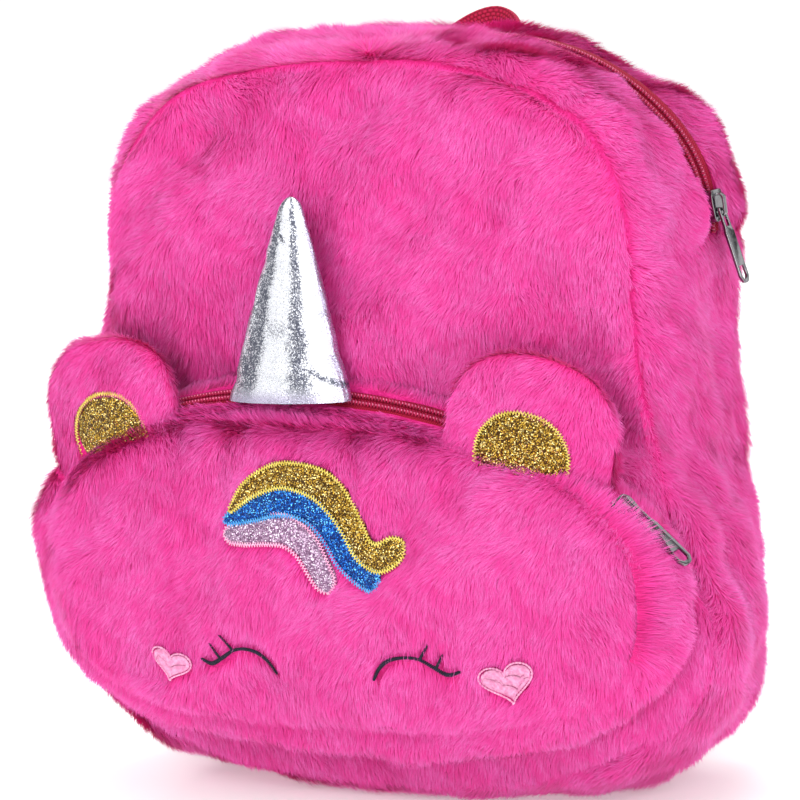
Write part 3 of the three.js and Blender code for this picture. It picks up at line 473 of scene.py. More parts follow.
def inside_outline(points: Array, outline: Array) -> Array:
    """Tell which points lie in a closed outline.

    Args:
        points: X and Z of the points.
        outline: X and Z of the outline's corners.

    Returns:
        True for each point inside.
    """
    inside = np.zeros(len(points), bool)
    ends = np.roll(outline, -1, axis=0)
    for (x0, z0), (x1, z1) in zip(outline, ends):
        crosses = (z0 > points[:, 1]) != (z1 > points[:, 1])
        if z0 != z1:
            inside ^= crosses & (points[:, 0] < (x1 - x0) * (points[:, 1] - z0) / (z1 - z0) + x0)
    return inside


def outline_distance(points: Array, outline: Array, closed: bool = True) -> Array:
    """Distance of each point from an outline's corners and edges."""
    starts = outline if closed else outline[:-1]
    ends = np.roll(outline, -1, axis=0) if closed else outline[1:]
    best = np.full(len(points), np.inf)
    for a, b in zip(starts, ends):
        run = b - a
        share = np.clip(((points - a) @ run) / max(run @ run, 1e-9), 0, 1)
        best = np.minimum(best, np.linalg.norm(points - a - share[:, None] * run, axis=1))
    return best


def new_object(name: str, data: ID, material: Material | None) -> Object:
    """Make an object, link it and give it its material.

    Args:
        name: The object's name.
        data: Its mesh or other data.
        material: Its material, if it has one.

    Returns:
        The object.
    """
    made = bpy.data.objects.new(name, data)
    bpy.context.scene.collection.objects.link(made)
    if material is not None:
        data.materials.append(material)
    return made


def fast_mesh(name: str, points: Array, faces: Array, normals: Array | None = None,
              uv: Array | None = None, uv_name: str = PILE_MAP, smooth: bool = True) -> Mesh:
    """Make a mesh from arrays.

    Args:
        name: The mesh's name.
        points: Vertices in millimetres.
        faces: Corners of each face, as rows of three or four.
        normals: Shading normal of each vertex.
        uv: Map place of each vertex.
        uv_name: Name of that map.
        smooth: True for smooth shading.

    Returns:
        The mesh, in metres.
    """
    mesh = bpy.data.meshes.new(name)
    corners = faces.shape[1]
    mesh.vertices.add(len(points))
    mesh.vertices.foreach_set("co", (points * MM).astype(np.float32).ravel())
    mesh.loops.add(faces.size)
    mesh.loops.foreach_set("vertex_index", faces.astype(np.int32).ravel())
    mesh.polygons.add(len(faces))
    mesh.polygons.foreach_set("loop_start", np.arange(0, faces.size, corners, dtype=np.int32))
    mesh.update(calc_edges=True)
    mesh.polygons.foreach_set("use_smooth", np.full(len(faces), smooth))
    if uv is not None:
        layer = mesh.uv_layers.new(name=uv_name)
        layer.uv.foreach_set("vector", uv[faces.ravel()].astype(np.float32).ravel())
    if normals is not None:
        mesh.normals_split_custom_set_from_vertices(normals.astype(np.float32))
    mesh.update()
    return mesh


def grid_faces(rows: int, columns: int, wrap: bool) -> Array:
    """Quads of a grid of vertices, whose columns may close on themselves."""
    i, j = np.meshgrid(np.arange(rows - 1), np.arange(columns if wrap else columns - 1), indexing="ij")
    right = (j + 1) % columns
    here, below = i * columns, (i + 1) * columns
    quads = np.stack([here + j, below + j, below + right, here + right], -1)
    return quads.reshape(-1, 4)


@dataclass
class Skin:
    """A cloth surface as a grid of points with what its pile needs to know."""

    points: Array
    outwards: Array
    wrap: bool = False
    seam: Array | None = None
    density: Array | None = None
    length: Array | None = None
    stand: Array | None = None

    def __post_init__(self) -> None:
        """Fill what wasn't given and work out the normals."""
        shape = self.points.shape[:2]
        self.seam = np.full(shape, 99.0) if self.seam is None else self.seam
        self.density = np.ones(shape) if self.density is None else self.density
        self.length = np.ones(shape) if self.length is None else self.length
        self.stand = np.zeros(shape) if self.stand is None else self.stand
        self.normals = self.grid_normals()

    def grid_normals(self) -> Array:
        """Normals of the grid, turned to the outside.

        Returns:
            A direction for each point.
        """
        down = np.gradient(self.points, axis=0)
        if self.wrap:
            across = np.roll(self.points, -1, axis=1) - np.roll(self.points, 1, axis=1)
        else:
            across = np.gradient(self.points, axis=1)
        normals = unit(np.cross(down, across))
        flat = np.linalg.norm(np.cross(down, across), axis=-1) < 1e-7
        normals[flat] = unit(self.outwards)[flat]
        turned = (normals * self.outwards).sum(axis=-1, keepdims=True)
        return np.where(turned < 0, -normals, normals)

    def faces(self) -> Array:
        """Quads of the grid, facing outwards."""
        quads = grid_faces(*self.points.shape[:2], self.wrap)
        flat = self.points.reshape(-1, 3)
        a, b, c, d = (flat[quads[:, k]] for k in range(4))
        facing = (np.cross(c - a, d - b) * self.outwards.reshape(-1, 3)[quads[:, 0]]).sum(axis=1)
        return quads[:, ::-1] if facing.sum() < 0 else quads

    def hemmed(self, beyond: float = 1.6, under: float = 1.8) -> "Skin":
        """The skin with its edges turned under, so that no seam shows a gap.

        Args:
            beyond: How far an edge reaches past its seam.
            under: How far it dips.

        Returns:
            The larger skin.
        """
        skin = self
        for axis in (0,) if self.wrap else (0, 1):
            points, normals, outwards = (np.swapaxes(part, 0, axis) for part in
                                         (skin.points, skin.normals, skin.outwards))
            first = points[0] + beyond * unit(points[0] - points[1]) - under * normals[0]
            last = points[-1] + beyond * unit(points[-1] - points[-2]) - under * normals[-1]
            points = np.concatenate([first[None], points, last[None]])
            outwards = np.concatenate([outwards[:1], outwards, outwards[-1:]])
            skin = Skin(np.swapaxes(points, 0, axis), np.swapaxes(outwards, 0, axis), self.wrap)
        return skin

    def build(self, name: str, material: Material, uv: Array | None = None) -> Object:
        """Make the skin's object.

        Args:
            name: The object's name.
            material: Its material.
            uv: Place of each point on the cloth's map.

        Returns:
            The object.
        """
        flat = None if uv is None else uv.reshape(-1, 2)
        mesh = fast_mesh(name, self.points.reshape(-1, 3), self.faces(), uv=flat, uv_name=CLOTH_MAP)
        return new_object(name, mesh, material)


class Nodes:
    """Adds nodes to one tree and joins them."""

    def __init__(self, tree: NodeTree) -> None:
        """Keep the tree."""
        self.tree = tree

    def add(self, kind: str, **settings: object) -> Node:
        """Add a node.

        Args:
            kind: Its type.
            settings: Values of its own settings.

        Returns:
            The node.
        """
        node = self.tree.nodes.new(kind)
        for key, value in settings.items():
            setattr(node, key, value)
        return node

    def feed(self, socket: NodeSocket, value: object) -> None:
        """Join an output to an input, or set the input to a plain value."""
        if isinstance(value, NodeSocket):
            self.tree.links.new(value, socket)
        else:
            socket.default_value = value

    def math(self, operation: str, first: object, second: object = 0.0, clamp: bool = False) -> NodeSocket:
        """Result of a sum on one or two values."""
        node = self.add("ShaderNodeMath", operation=operation, use_clamp=clamp)
        self.feed(node.inputs[0], first)
        self.feed(node.inputs[1], second)
        return node.outputs[0]

    def vector(self, operation: str, first: object, second: object) -> NodeSocket:
        """Result of a sum on vectors; a scale takes a number as its second value."""
        node = self.add("ShaderNodeVectorMath", operation=operation)
        self.feed(node.inputs[0], first)
        self.feed(node.inputs["Scale" if operation == "SCALE" else 1], second)
        return node.outputs[0]

    def spread(self, value: object, low: float, high: float, to_low: float = 0.0,
               to_high: float = 1.0) -> NodeSocket:
        """Map one range onto another, held at its ends."""
        node = self.add("ShaderNodeMapRange", clamp=True, interpolation_type="SMOOTHSTEP")
        for socket, given in zip(node.inputs[:5], (value, low, high, to_low, to_high)):
            self.feed(socket, given)
        return node.outputs[0]

    def mix(self, share: object, first: object, second: object) -> NodeSocket:
        """Mix two colours."""
        node = self.add("ShaderNodeMix", data_type="RGBA")
        self.feed(node.inputs[0], share)
        self.feed(node.inputs[6], first)
        self.feed(node.inputs[7], second)
        return node.outputs[2]

    def blend(self, share: object, first: object, second: object) -> NodeSocket:
        """Mix two numbers."""
        node = self.add("ShaderNodeMix", data_type="FLOAT")
        for socket, value in zip((node.inputs[0], node.inputs[2], node.inputs[3]), (share, first, second)):
            self.feed(socket, value)
        return node.outputs[0]

    def noise(self, place: NodeSocket, scale: object, detail: float = 3.0,
              rough: float = 0.55) -> NodeSocket:
        """Noise value between 0 and 1."""
        node = self.add("ShaderNodeTexNoise")
        self.feed(node.inputs["Vector"], place)
        self.feed(node.inputs["Scale"], scale)
        node.inputs["Detail"].default_value = detail
        node.inputs["Roughness"].default_value = rough
        return node.outputs["Fac"]

    def split(self, vector: NodeSocket) -> Sequence[NodeSocket]:
        """The three numbers of a vector."""
        node = self.add("ShaderNodeSeparateXYZ")
        self.feed(node.inputs[0], vector)
        return node.outputs

    def relief(self, height: NodeSocket, strength: float, distance: float) -> NodeSocket:
        """Normal of a surface with a height in metres times distance."""
        node = self.add("ShaderNodeBump")
        node.inputs["Strength"].default_value = strength
        node.inputs["Distance"].default_value = distance
        self.feed(node.inputs["Height"], height)
        return node.outputs["Normal"]

    def place(self) -> NodeSocket:
        """Place on the object, in metres."""
        return self.add("ShaderNodeTexCoord").outputs["Object"]

    def use(self, group: NodeTree, **values: object) -> Node:
        """Place a group with its values.

        Args:
            group: The group's tree.
            values: Its inputs, with underscores for spaces.

        Returns:
            The group's node.
        """
        node = self.add("ShaderNodeGroup")
        node.node_tree = group
        for key, value in values.items():
            self.feed(node.inputs[key.replace("_", " ")], value)
        return node


class GroupMaker:
    """Builds each shared shader group once."""

    @classmethod
    def start(cls, name: str, inputs: dict[str, tuple[str, object]],
              outputs: dict[str, str]) -> tuple[Nodes, dict[str, NodeSocket], Node]:
        """Make an empty group with its sockets.

        Args:
            name: The group's name.
            inputs: Kind and starting value of each input.
            outputs: Kind of each output.

        Returns:
            The node adder, the inputs by name and the output node.
        """
        tree = bpy.data.node_groups.new(name, "ShaderNodeTree")
        for key, (kind, value) in inputs.items():
            socket = tree.interface.new_socket(key, in_out="INPUT", socket_type=kind)
            if value is not None:
                socket.default_value = value
        for key, kind in outputs.items():
            tree.interface.new_socket(key, in_out="OUTPUT", socket_type=kind)
        nodes = Nodes(tree)
        entry = nodes.add("NodeGroupInput")
        return nodes, {key: entry.outputs[key] for key in inputs}, nodes.add("NodeGroupOutput")

    @classmethod
    @cache
    def pile_tint(cls) -> NodeTree:
        """Colour of a strand from its tone and its height, both kept in the pile's map; strands take painted
        shade towards the root and in dark tones, and a painted highlight towards the tip.
        """
        colour = "NodeSocketColor"
        nodes, given, out = cls.start(
            "Pile tint",
            {"Root": (colour, (0, 0, 0, 1)), "Body": (colour, (1, 0, 0, 1)), "Tip": (colour, (1, 1, 1, 1))},
            {"Colour": colour},
        )
        tone, height, _ = nodes.split(nodes.add("ShaderNodeUVMap", uv_map=PILE_MAP).outputs[0])
        # Painted shade: strands darken from the body colour to the root colour towards their roots.
        body = nodes.mix(nodes.spread(height, 0.0, 0.6), given["Root"], given["Body"])
        # Painted highlight: the upper part of brighter strands turns to the tip colour.
        lit = nodes.math("MULTIPLY", nodes.spread(height, 0.35, 1.0), nodes.spread(tone, 0.25, 1.0))
        tipped = nodes.mix(lit, body, given["Tip"])
        # Painted shade: strands of low tone, among them those near a seam, darken to the root colour.
        dark = nodes.spread(tone, 0.0, 0.42, 0.7, 0.0)
        nodes.feed(out.inputs["Colour"], nodes.mix(dark, tipped, given["Root"]))
        return nodes.tree

    @classmethod
    @cache
    def cloth_ground(cls) -> NodeTree:
        """Mottled backing cloth under the pile."""
        colour, number = "NodeSocketColor", "NodeSocketFloat"
        nodes, given, out = cls.start(
            "Cloth ground",
            {"Dark": (colour, (0, 0, 0, 1)), "Light": (colour, (1, 1, 1, 1))},
            {"Colour": colour, "Height": number},
        )
        place = nodes.place()
        wide = nodes.noise(place, 90.0, 4.0)
        fine = nodes.noise(place, 900.0, 2.0)
        mask = nodes.math("MULTIPLY", wide, fine)
        shade = nodes.spread(mask, 0.15, 0.4)
        nodes.feed(out.inputs["Colour"], nodes.mix(shade, given["Dark"], given["Light"]))
        nodes.feed(out.inputs["Height"], fine)
        return nodes.tree

    @classmethod
    @cache
    def weave(cls) -> NodeTree:
        """Woven yarns, from the cloth's map in millimetres."""
        number = "NodeSocketFloat"
        nodes, given, out = cls.start(
            "Weave",
            {"Across": (number, 1.0), "Along": (number, 1.0)},
            {"Height": number, "Shade": number},
        )
        across, along, _ = nodes.split(nodes.add("ShaderNodeUVMap", uv_map=CLOTH_MAP).outputs[0])
        column = nodes.math("DIVIDE", across, given["Across"])
        odd = nodes.math("FLOORED_MODULO", nodes.math("FLOOR", column), 2.0)
        row = nodes.math("ADD", nodes.math("DIVIDE", along, given["Along"]), nodes.math("MULTIPLY", odd, 0.5))
        ribs = nodes.math("ABSOLUTE", nodes.math("SINE", nodes.math("MULTIPLY", column, math.pi)))
        knots = nodes.math("ABSOLUTE", nodes.math("SINE", nodes.math("MULTIPLY", row, math.pi)))
        yarn = nodes.math("MULTIPLY", nodes.math("POWER", ribs, 0.6), nodes.math("POWER", knots, 0.7))
        fuzz = nodes.noise(nodes.place(), 1800.0, 2.0)
        height = nodes.math("ADD", yarn, nodes.math("MULTIPLY", fuzz, 0.25))
        nodes.feed(out.inputs["Height"], height)
        # Shade is painted shade between the yarns, mottled at random by the fuzz.
        nodes.feed(out.inputs["Shade"], nodes.math("MULTIPLY", yarn, nodes.spread(fuzz, 0.2, 0.8, 0.7, 1.0)))
        return nodes.tree

    @classmethod
    @cache
    def flakes(cls) -> NodeTree:
        """Glitter flakes that each lie at an angle of their own."""
        colour, number, vector = "NodeSocketColor", "NodeSocketFloat", "NodeSocketVector"
        nodes, given, out = cls.start(
            "Flakes",
            {"Size": (number, 0.0004), "Tilt": (number, 0.8)},
            {"Pick": number, "Gap": number, "Normal": vector},
        )
        cells = nodes.add("ShaderNodeTexVoronoi", feature="F1")
        cells.inputs["Scale"].default_value = 1.0
        scaled = nodes.vector("SCALE", nodes.place(), nodes.math("DIVIDE", 1.0, given["Size"]))
        nodes.feed(cells.inputs["Vector"], scaled)
        pick = nodes.add("ShaderNodeSeparateColor")
        nodes.feed(pick.inputs[0], cells.outputs["Color"])
        centred = nodes.vector("SUBTRACT", cells.outputs["Color"], (0.5, 0.5, 0.5))
        leaned = nodes.vector("SCALE", centred, given["Tilt"])
        total = nodes.vector("ADD", nodes.add("ShaderNodeNewGeometry").outputs["Normal"], leaned)
        normal = nodes.vector("NORMALIZE", total, (0, 0, 0))
        nodes.feed(out.inputs["Pick"], pick.outputs[0])
        nodes.feed(out.inputs["Gap"], nodes.spread(cells.outputs["Distance"], 0.4, 0.75))
        nodes.feed(out.inputs["Normal"], normal)
        return nodes.tree

    @classmethod
    @cache
    def foil_reflection_bands(cls) -> NodeTree:
        """Painted dark reflections in grained bands of a foil cone, with painted shade along its creases and
        across its belly, from its place across and up the cone.
        """
        number = "NodeSocketFloat"
        nodes, given, out = cls.start(
            "Foil painted reflections", {"Grain": (number, 2400.0)}, {"Dark reflection and shade": number, "Grain": number},
        )
        across, rise, _ = nodes.split(nodes.add("ShaderNodeUVMap", uv_map=CLOTH_MAP).outputs[0])
        place = nodes.place()
        sway = nodes.math("MULTIPLY", nodes.math("SUBTRACT", nodes.noise(place, 70.0, 3.0), 0.5), 0.55)
        warped = nodes.math("ADD", across, sway)

        def stripe(value: object, middle: float, core: float, fade: float) -> NodeSocket:
            """Soft stripe round one value."""
            away = nodes.math("ABSOLUTE", nodes.math("SUBTRACT", value, middle))
            return nodes.spread(away, core, fade, 1.0, 0.0)

        # Painted dark reflections: a wide band on the left and a narrow one on the right.
        marks = [stripe(warped, -0.62, 0.08, 0.42), stripe(warped, 0.36, 0.03, 0.34)]
        # Painted shade along a crease on the left, a fold on the right and across the belly.
        slope = nodes.math("ADD", rise, nodes.math("MULTIPLY", across, 0.10))
        left = nodes.spread(across, -0.15, 0.15, 1.0, 0.0)
        marks.append(nodes.math("MULTIPLY", stripe(slope, 0.78, 0.0, 0.035), left))
        fold = nodes.math("ADD", rise, nodes.math("MULTIPLY", across, 0.16))
        right = nodes.spread(across, 0.25, 0.5)
        marks.append(nodes.math("MULTIPLY", stripe(fold, 0.24, 0.0, 0.04), right))
        belly = nodes.math("MULTIPLY", stripe(warped, -0.15, 0.25, 0.6), 0.55)
        marks.append(nodes.math("MULTIPLY", stripe(rise, 0.36, 0.0, 0.10), belly))
        total = marks[0]
        for mark in marks[1:]:
            total = nodes.math("MAXIMUM", total, mark)
        fine = nodes.add("ShaderNodeTexVoronoi", feature="F1")
        nodes.feed(fine.inputs["Vector"], place)
        nodes.feed(fine.inputs["Scale"], given["Grain"])
        grain = nodes.split(fine.outputs["Color"])[0]
        rough = nodes.math("ADD", total, nodes.math("MULTIPLY", nodes.math("SUBTRACT", grain, 0.5), 0.85))
        edge = nodes.spread(rise, 0.0, 0.10, 0.35, 1.0)
        nodes.feed(out.inputs["Dark reflection and shade"], nodes.math("MULTIPLY", nodes.spread(rough, 0.34, 1.1), edge))
        nodes.feed(out.inputs["Grain"], grain)
        return nodes.tree

    @classmethod
    @cache
    def handled(cls) -> NodeTree:
        """Small scratches, smears and crinkles of a smooth surface that is handled."""
        number = "NodeSocketFloat"
        nodes, given, out = cls.start(
            "Handled surface",
            {"Coarse": (number, 200.0), "Fine": (number, 2400.0)},
            {"Smear": number, "Crinkle": number},
        )
        place = nodes.place()
        coarse = nodes.noise(place, given["Coarse"], 5.0, 0.5)
        fine = nodes.noise(place, given["Fine"], 3.0, 0.5)
        ridge = nodes.math("ABSOLUTE", nodes.math("SUBTRACT", coarse, 0.5))
        small = nodes.math("ABSOLUTE", nodes.math("SUBTRACT", fine, 0.5))
        crinkle = nodes.math("ADD", nodes.math("MULTIPLY", ridge, 2.0), nodes.math("MULTIPLY", small, 0.5))
        nodes.feed(out.inputs["Smear"], coarse)
        nodes.feed(out.inputs["Crinkle"], crinkle)
        return nodes.tree


def start_material(name: str) -> tuple[Material, Nodes, Node]:
    """Make a material with a plain Principled shader.

    Args:
        name: The material's name.

    Returns:
        The material, its node adder and its shader.
    """
    material = bpy.data.materials.new(name)
    material.use_nodes = True
    return material, Nodes(material.node_tree), material.node_tree.nodes["Principled BSDF"]


def set_plain(shader: Node, **values: object) -> None:
    """Set plain values on a shader's sockets, with underscores for spaces."""
    for key, value in values.items():
        shader.inputs[key.replace("_", " ")].default_value = value


Colour = tuple[float, float, float, float]


@dataclass(frozen=True)
class PileFinish:
    """Strands of short plush pile."""

    name: str = "hot pink pile"
    # The root colour is darker as painted shade deep in the pile, and the tip colour lighter as a painted
    # highlight.
    root: Colour = (0.80, 0.024, 0.25, 1)
    body: Colour = (0.90, 0.058, 0.385, 1)
    tip: Colour = (0.93, 0.21, 0.64, 1)
    roughness: float = 0.62

    def material(self) -> Material:
        """Make the material."""
        material, nodes, shader = start_material(self.name)
        tint = nodes.use(GroupMaker.pile_tint(), Root=self.root, Body=self.body, Tip=self.tip)
        nodes.feed(shader.inputs["Base Color"], tint.outputs["Colour"])
        set_plain(shader, Roughness=self.roughness, Specular_IOR_Level=0.2, Sheen_Weight=0.16,
                  Sheen_Roughness=0.45, Sheen_Tint=(1.0, 0.5, 0.8, 1))
        return material


@dataclass(frozen=True)
class ShadedGroundFinish:
    """Backing cloth that the pile stands on, coloured dark as painted shade where it shows between the
    strands and at hems.
    """

    name: str = "plush backing in painted shade"
    # Both colours are kept darker than the strands so that bare cloth reads as painted shade.
    dark: Colour = (0.56, 0.014, 0.16, 1)
    light: Colour = (0.76, 0.034, 0.27, 1)

    def material(self) -> Material:
        """Make the material."""
        material, nodes, shader = start_material(self.name)
        ground = nodes.use(GroupMaker.cloth_ground(), Dark=self.dark, Light=self.light)
        nodes.feed(shader.inputs["Base Color"], ground.outputs["Colour"])
        nodes.feed(shader.inputs["Normal"], nodes.relief(ground.outputs["Height"], 0.6, 0.0006))
        set_plain(shader, Roughness=0.95, Specular_IOR_Level=0.15)
        return material


@dataclass(frozen=True)
class WovenFinish:
    """Woven tape or webbing."""

    name: str
    dark: Colour
    light: Colour
    across: float
    along: float
    relief: float = 0.0004

    def material(self) -> Material:
        """Make the material."""
        material, nodes, shader = start_material(self.name)
        weave = nodes.use(GroupMaker.weave(), Across=self.across, Along=self.along)
        # Painted shade: the weave's low places between the yarns take the dark colour.
        nodes.feed(shader.inputs["Base Color"], nodes.mix(weave.outputs["Shade"], self.dark, self.light))
        nodes.feed(shader.inputs["Normal"], nodes.relief(weave.outputs["Height"], 0.9, self.relief))
        nodes.feed(shader.inputs["Roughness"], nodes.spread(weave.outputs["Shade"], 0, 1, 0.85, 0.55))
        set_plain(shader, Sheen_Weight=0.08, Sheen_Roughness=0.4, Sheen_Tint=(1.0, 0.5, 0.65, 1),
                  Specular_IOR_Level=0.2)
        return material


@dataclass(frozen=True)
class ThreadFinish:
    """Thread or monofilament, a little mottled from strand to strand."""

    name: str
    dark: Colour
    light: Colour
    roughness: float = 0.45
    grain: float = 700.0
    sheen: float = 0.05

    def material(self) -> Material:
        """Make the material."""
        material, nodes, shader = start_material(self.name)
        ground = nodes.use(GroupMaker.handled(), Coarse=self.grain, Fine=self.grain * 6)
        share = nodes.spread(ground.outputs["Smear"], 0.3, 0.7)
        nodes.feed(shader.inputs["Base Color"], nodes.mix(share, self.dark, self.light))
        nodes.feed(shader.inputs["Normal"], nodes.relief(ground.outputs["Crinkle"], 0.3, 0.0001))
        set_plain(shader, Roughness=self.roughness, Sheen_Weight=self.sheen, Sheen_Roughness=0.3,
                  Specular_IOR_Level=0.3)
        return material


@dataclass(frozen=True)
class GlitterFinish:
    """Cloth covered with glitter flakes that each lie at an angle of their own; the deep colour is painted
    dark reflection on flakes turned away, and the spark colour a painted glint on a few flakes.
    """

    name: str
    deep: Colour
    body: Colour
    spark: Colour
    size: float = 0.00045
    metallic: float = 0.75

    def material(self) -> Material:
        """Make the material."""
        material, nodes, shader = start_material(self.name)
        flakes = nodes.use(GroupMaker.flakes(), Size=self.size, Tilt=1.1)
        pick = flakes.outputs["Pick"]
        # Painted dark reflection: flakes of low pick keep the deep colour.
        base = nodes.mix(nodes.spread(pick, 0.28, 0.62), self.deep, self.body)
        # Painted glint: a few flakes of high pick take the spark colour.
        lit = nodes.mix(nodes.spread(pick, 0.80, 0.92), base, self.spark)
        nodes.feed(shader.inputs["Base Color"], nodes.mix(flakes.outputs["Gap"], lit, self.deep))
        nodes.feed(shader.inputs["Roughness"], nodes.spread(pick, 0.0, 1.0, 0.5, 0.22))
        nodes.feed(shader.inputs["Normal"], flakes.outputs["Normal"])
        set_plain(shader, Metallic=self.metallic)
        return material


@dataclass(frozen=True)
class MetalFinish:
    """Plated metal, rubbed a little."""

    name: str
    dark: Colour
    light: Colour
    smooth: float
    rough: float

    def material(self) -> Material:
        """Make the material."""
        material, nodes, shader = start_material(self.name)
        worn = nodes.use(GroupMaker.handled(), Coarse=700.0, Fine=4000.0)
        share = nodes.spread(worn.outputs["Smear"], 0.25, 0.75)
        nodes.feed(shader.inputs["Base Color"], nodes.mix(share, self.dark, self.light))
        gloss = nodes.spread(worn.outputs["Smear"], 0.3, 0.7, self.smooth, self.rough)
        nodes.feed(shader.inputs["Roughness"], gloss)
        nodes.feed(shader.inputs["Normal"], nodes.relief(worn.outputs["Crinkle"], 0.05, 0.0001))
        set_plain(shader, Metallic=1.0)
        return material


@dataclass(frozen=True)
class FoilFinish:
    """Silver foil on soft leatherette, finely crinkled, with painted dark reflections and painted crease
    shade from the bands and a painted lavender reflection at its rims and foot.
    """

    name: str = "silver foil"
    # dark is the colour of the painted dark reflections and crease shade, edge that of the painted reflection
    # at the rims and foot; light is the foil's own colour.
    dark: Colour = (0.09, 0.095, 0.13, 1)
    light: Colour = (0.86, 0.87, 0.93, 1)
    edge: Colour = (0.52, 0.47, 0.64, 1)

    def material(self) -> Material:
        """Make the material."""
        material, nodes, shader = start_material(self.name)
        bands = nodes.use(GroupMaker.foil_reflection_bands())
        across, rise, _ = nodes.split(nodes.add("ShaderNodeUVMap", uv_map=CLOTH_MAP).outputs[0])
        # Painted reflection: the cone's rims and foot turn to the edge colour.
        rim = nodes.spread(nodes.math("ABSOLUTE", across), 0.80, 1.0)
        foot = nodes.math("MAXIMUM", rim, nodes.spread(rise, 0.0, 0.09, 0.9, 0.0))
        base = nodes.mix(foot, self.light, self.edge)
        # Painted dark reflections and crease shade from the bands.
        nodes.feed(shader.inputs["Base Color"], nodes.mix(bands.outputs["Dark reflection and shade"], base, self.dark))
        nodes.feed(shader.inputs["Roughness"], nodes.spread(bands.outputs["Grain"], 0.0, 1.0, 0.22, 0.38))
        crinkle = nodes.noise(nodes.place(), 1100.0, 3.0)
        nodes.feed(shader.inputs["Normal"], nodes.relief(crinkle, 0.45, 0.0006))
        set_plain(shader, Metallic=0.9)
        return material


@dataclass(frozen=True)
class FloorFinish:
    """Plain pale studio floor."""

    name: str = "studio floor"
    colour: Colour = (0.93, 0.93, 0.93, 1)

    def material(self) -> Material:
        """Make the material."""
        material, _, shader = start_material(self.name)
        set_plain(shader, Base_Color=self.colour, Roughness=0.9, Specular_IOR_Level=0.1,
                  Emission_Color=(1, 1, 1, 1), Emission_Strength=0.3)
        return material


@dataclass(frozen=True)
class PileCut:
    """How the pile is cut and brushed."""

    length: float = 6.7
    half_width: float = 0.26
    lift: float = math.radians(24)
    clump: float = 2.6
    gather: float = 0.4
    per_mm2: float = 3.72
    floor: float = 0.4


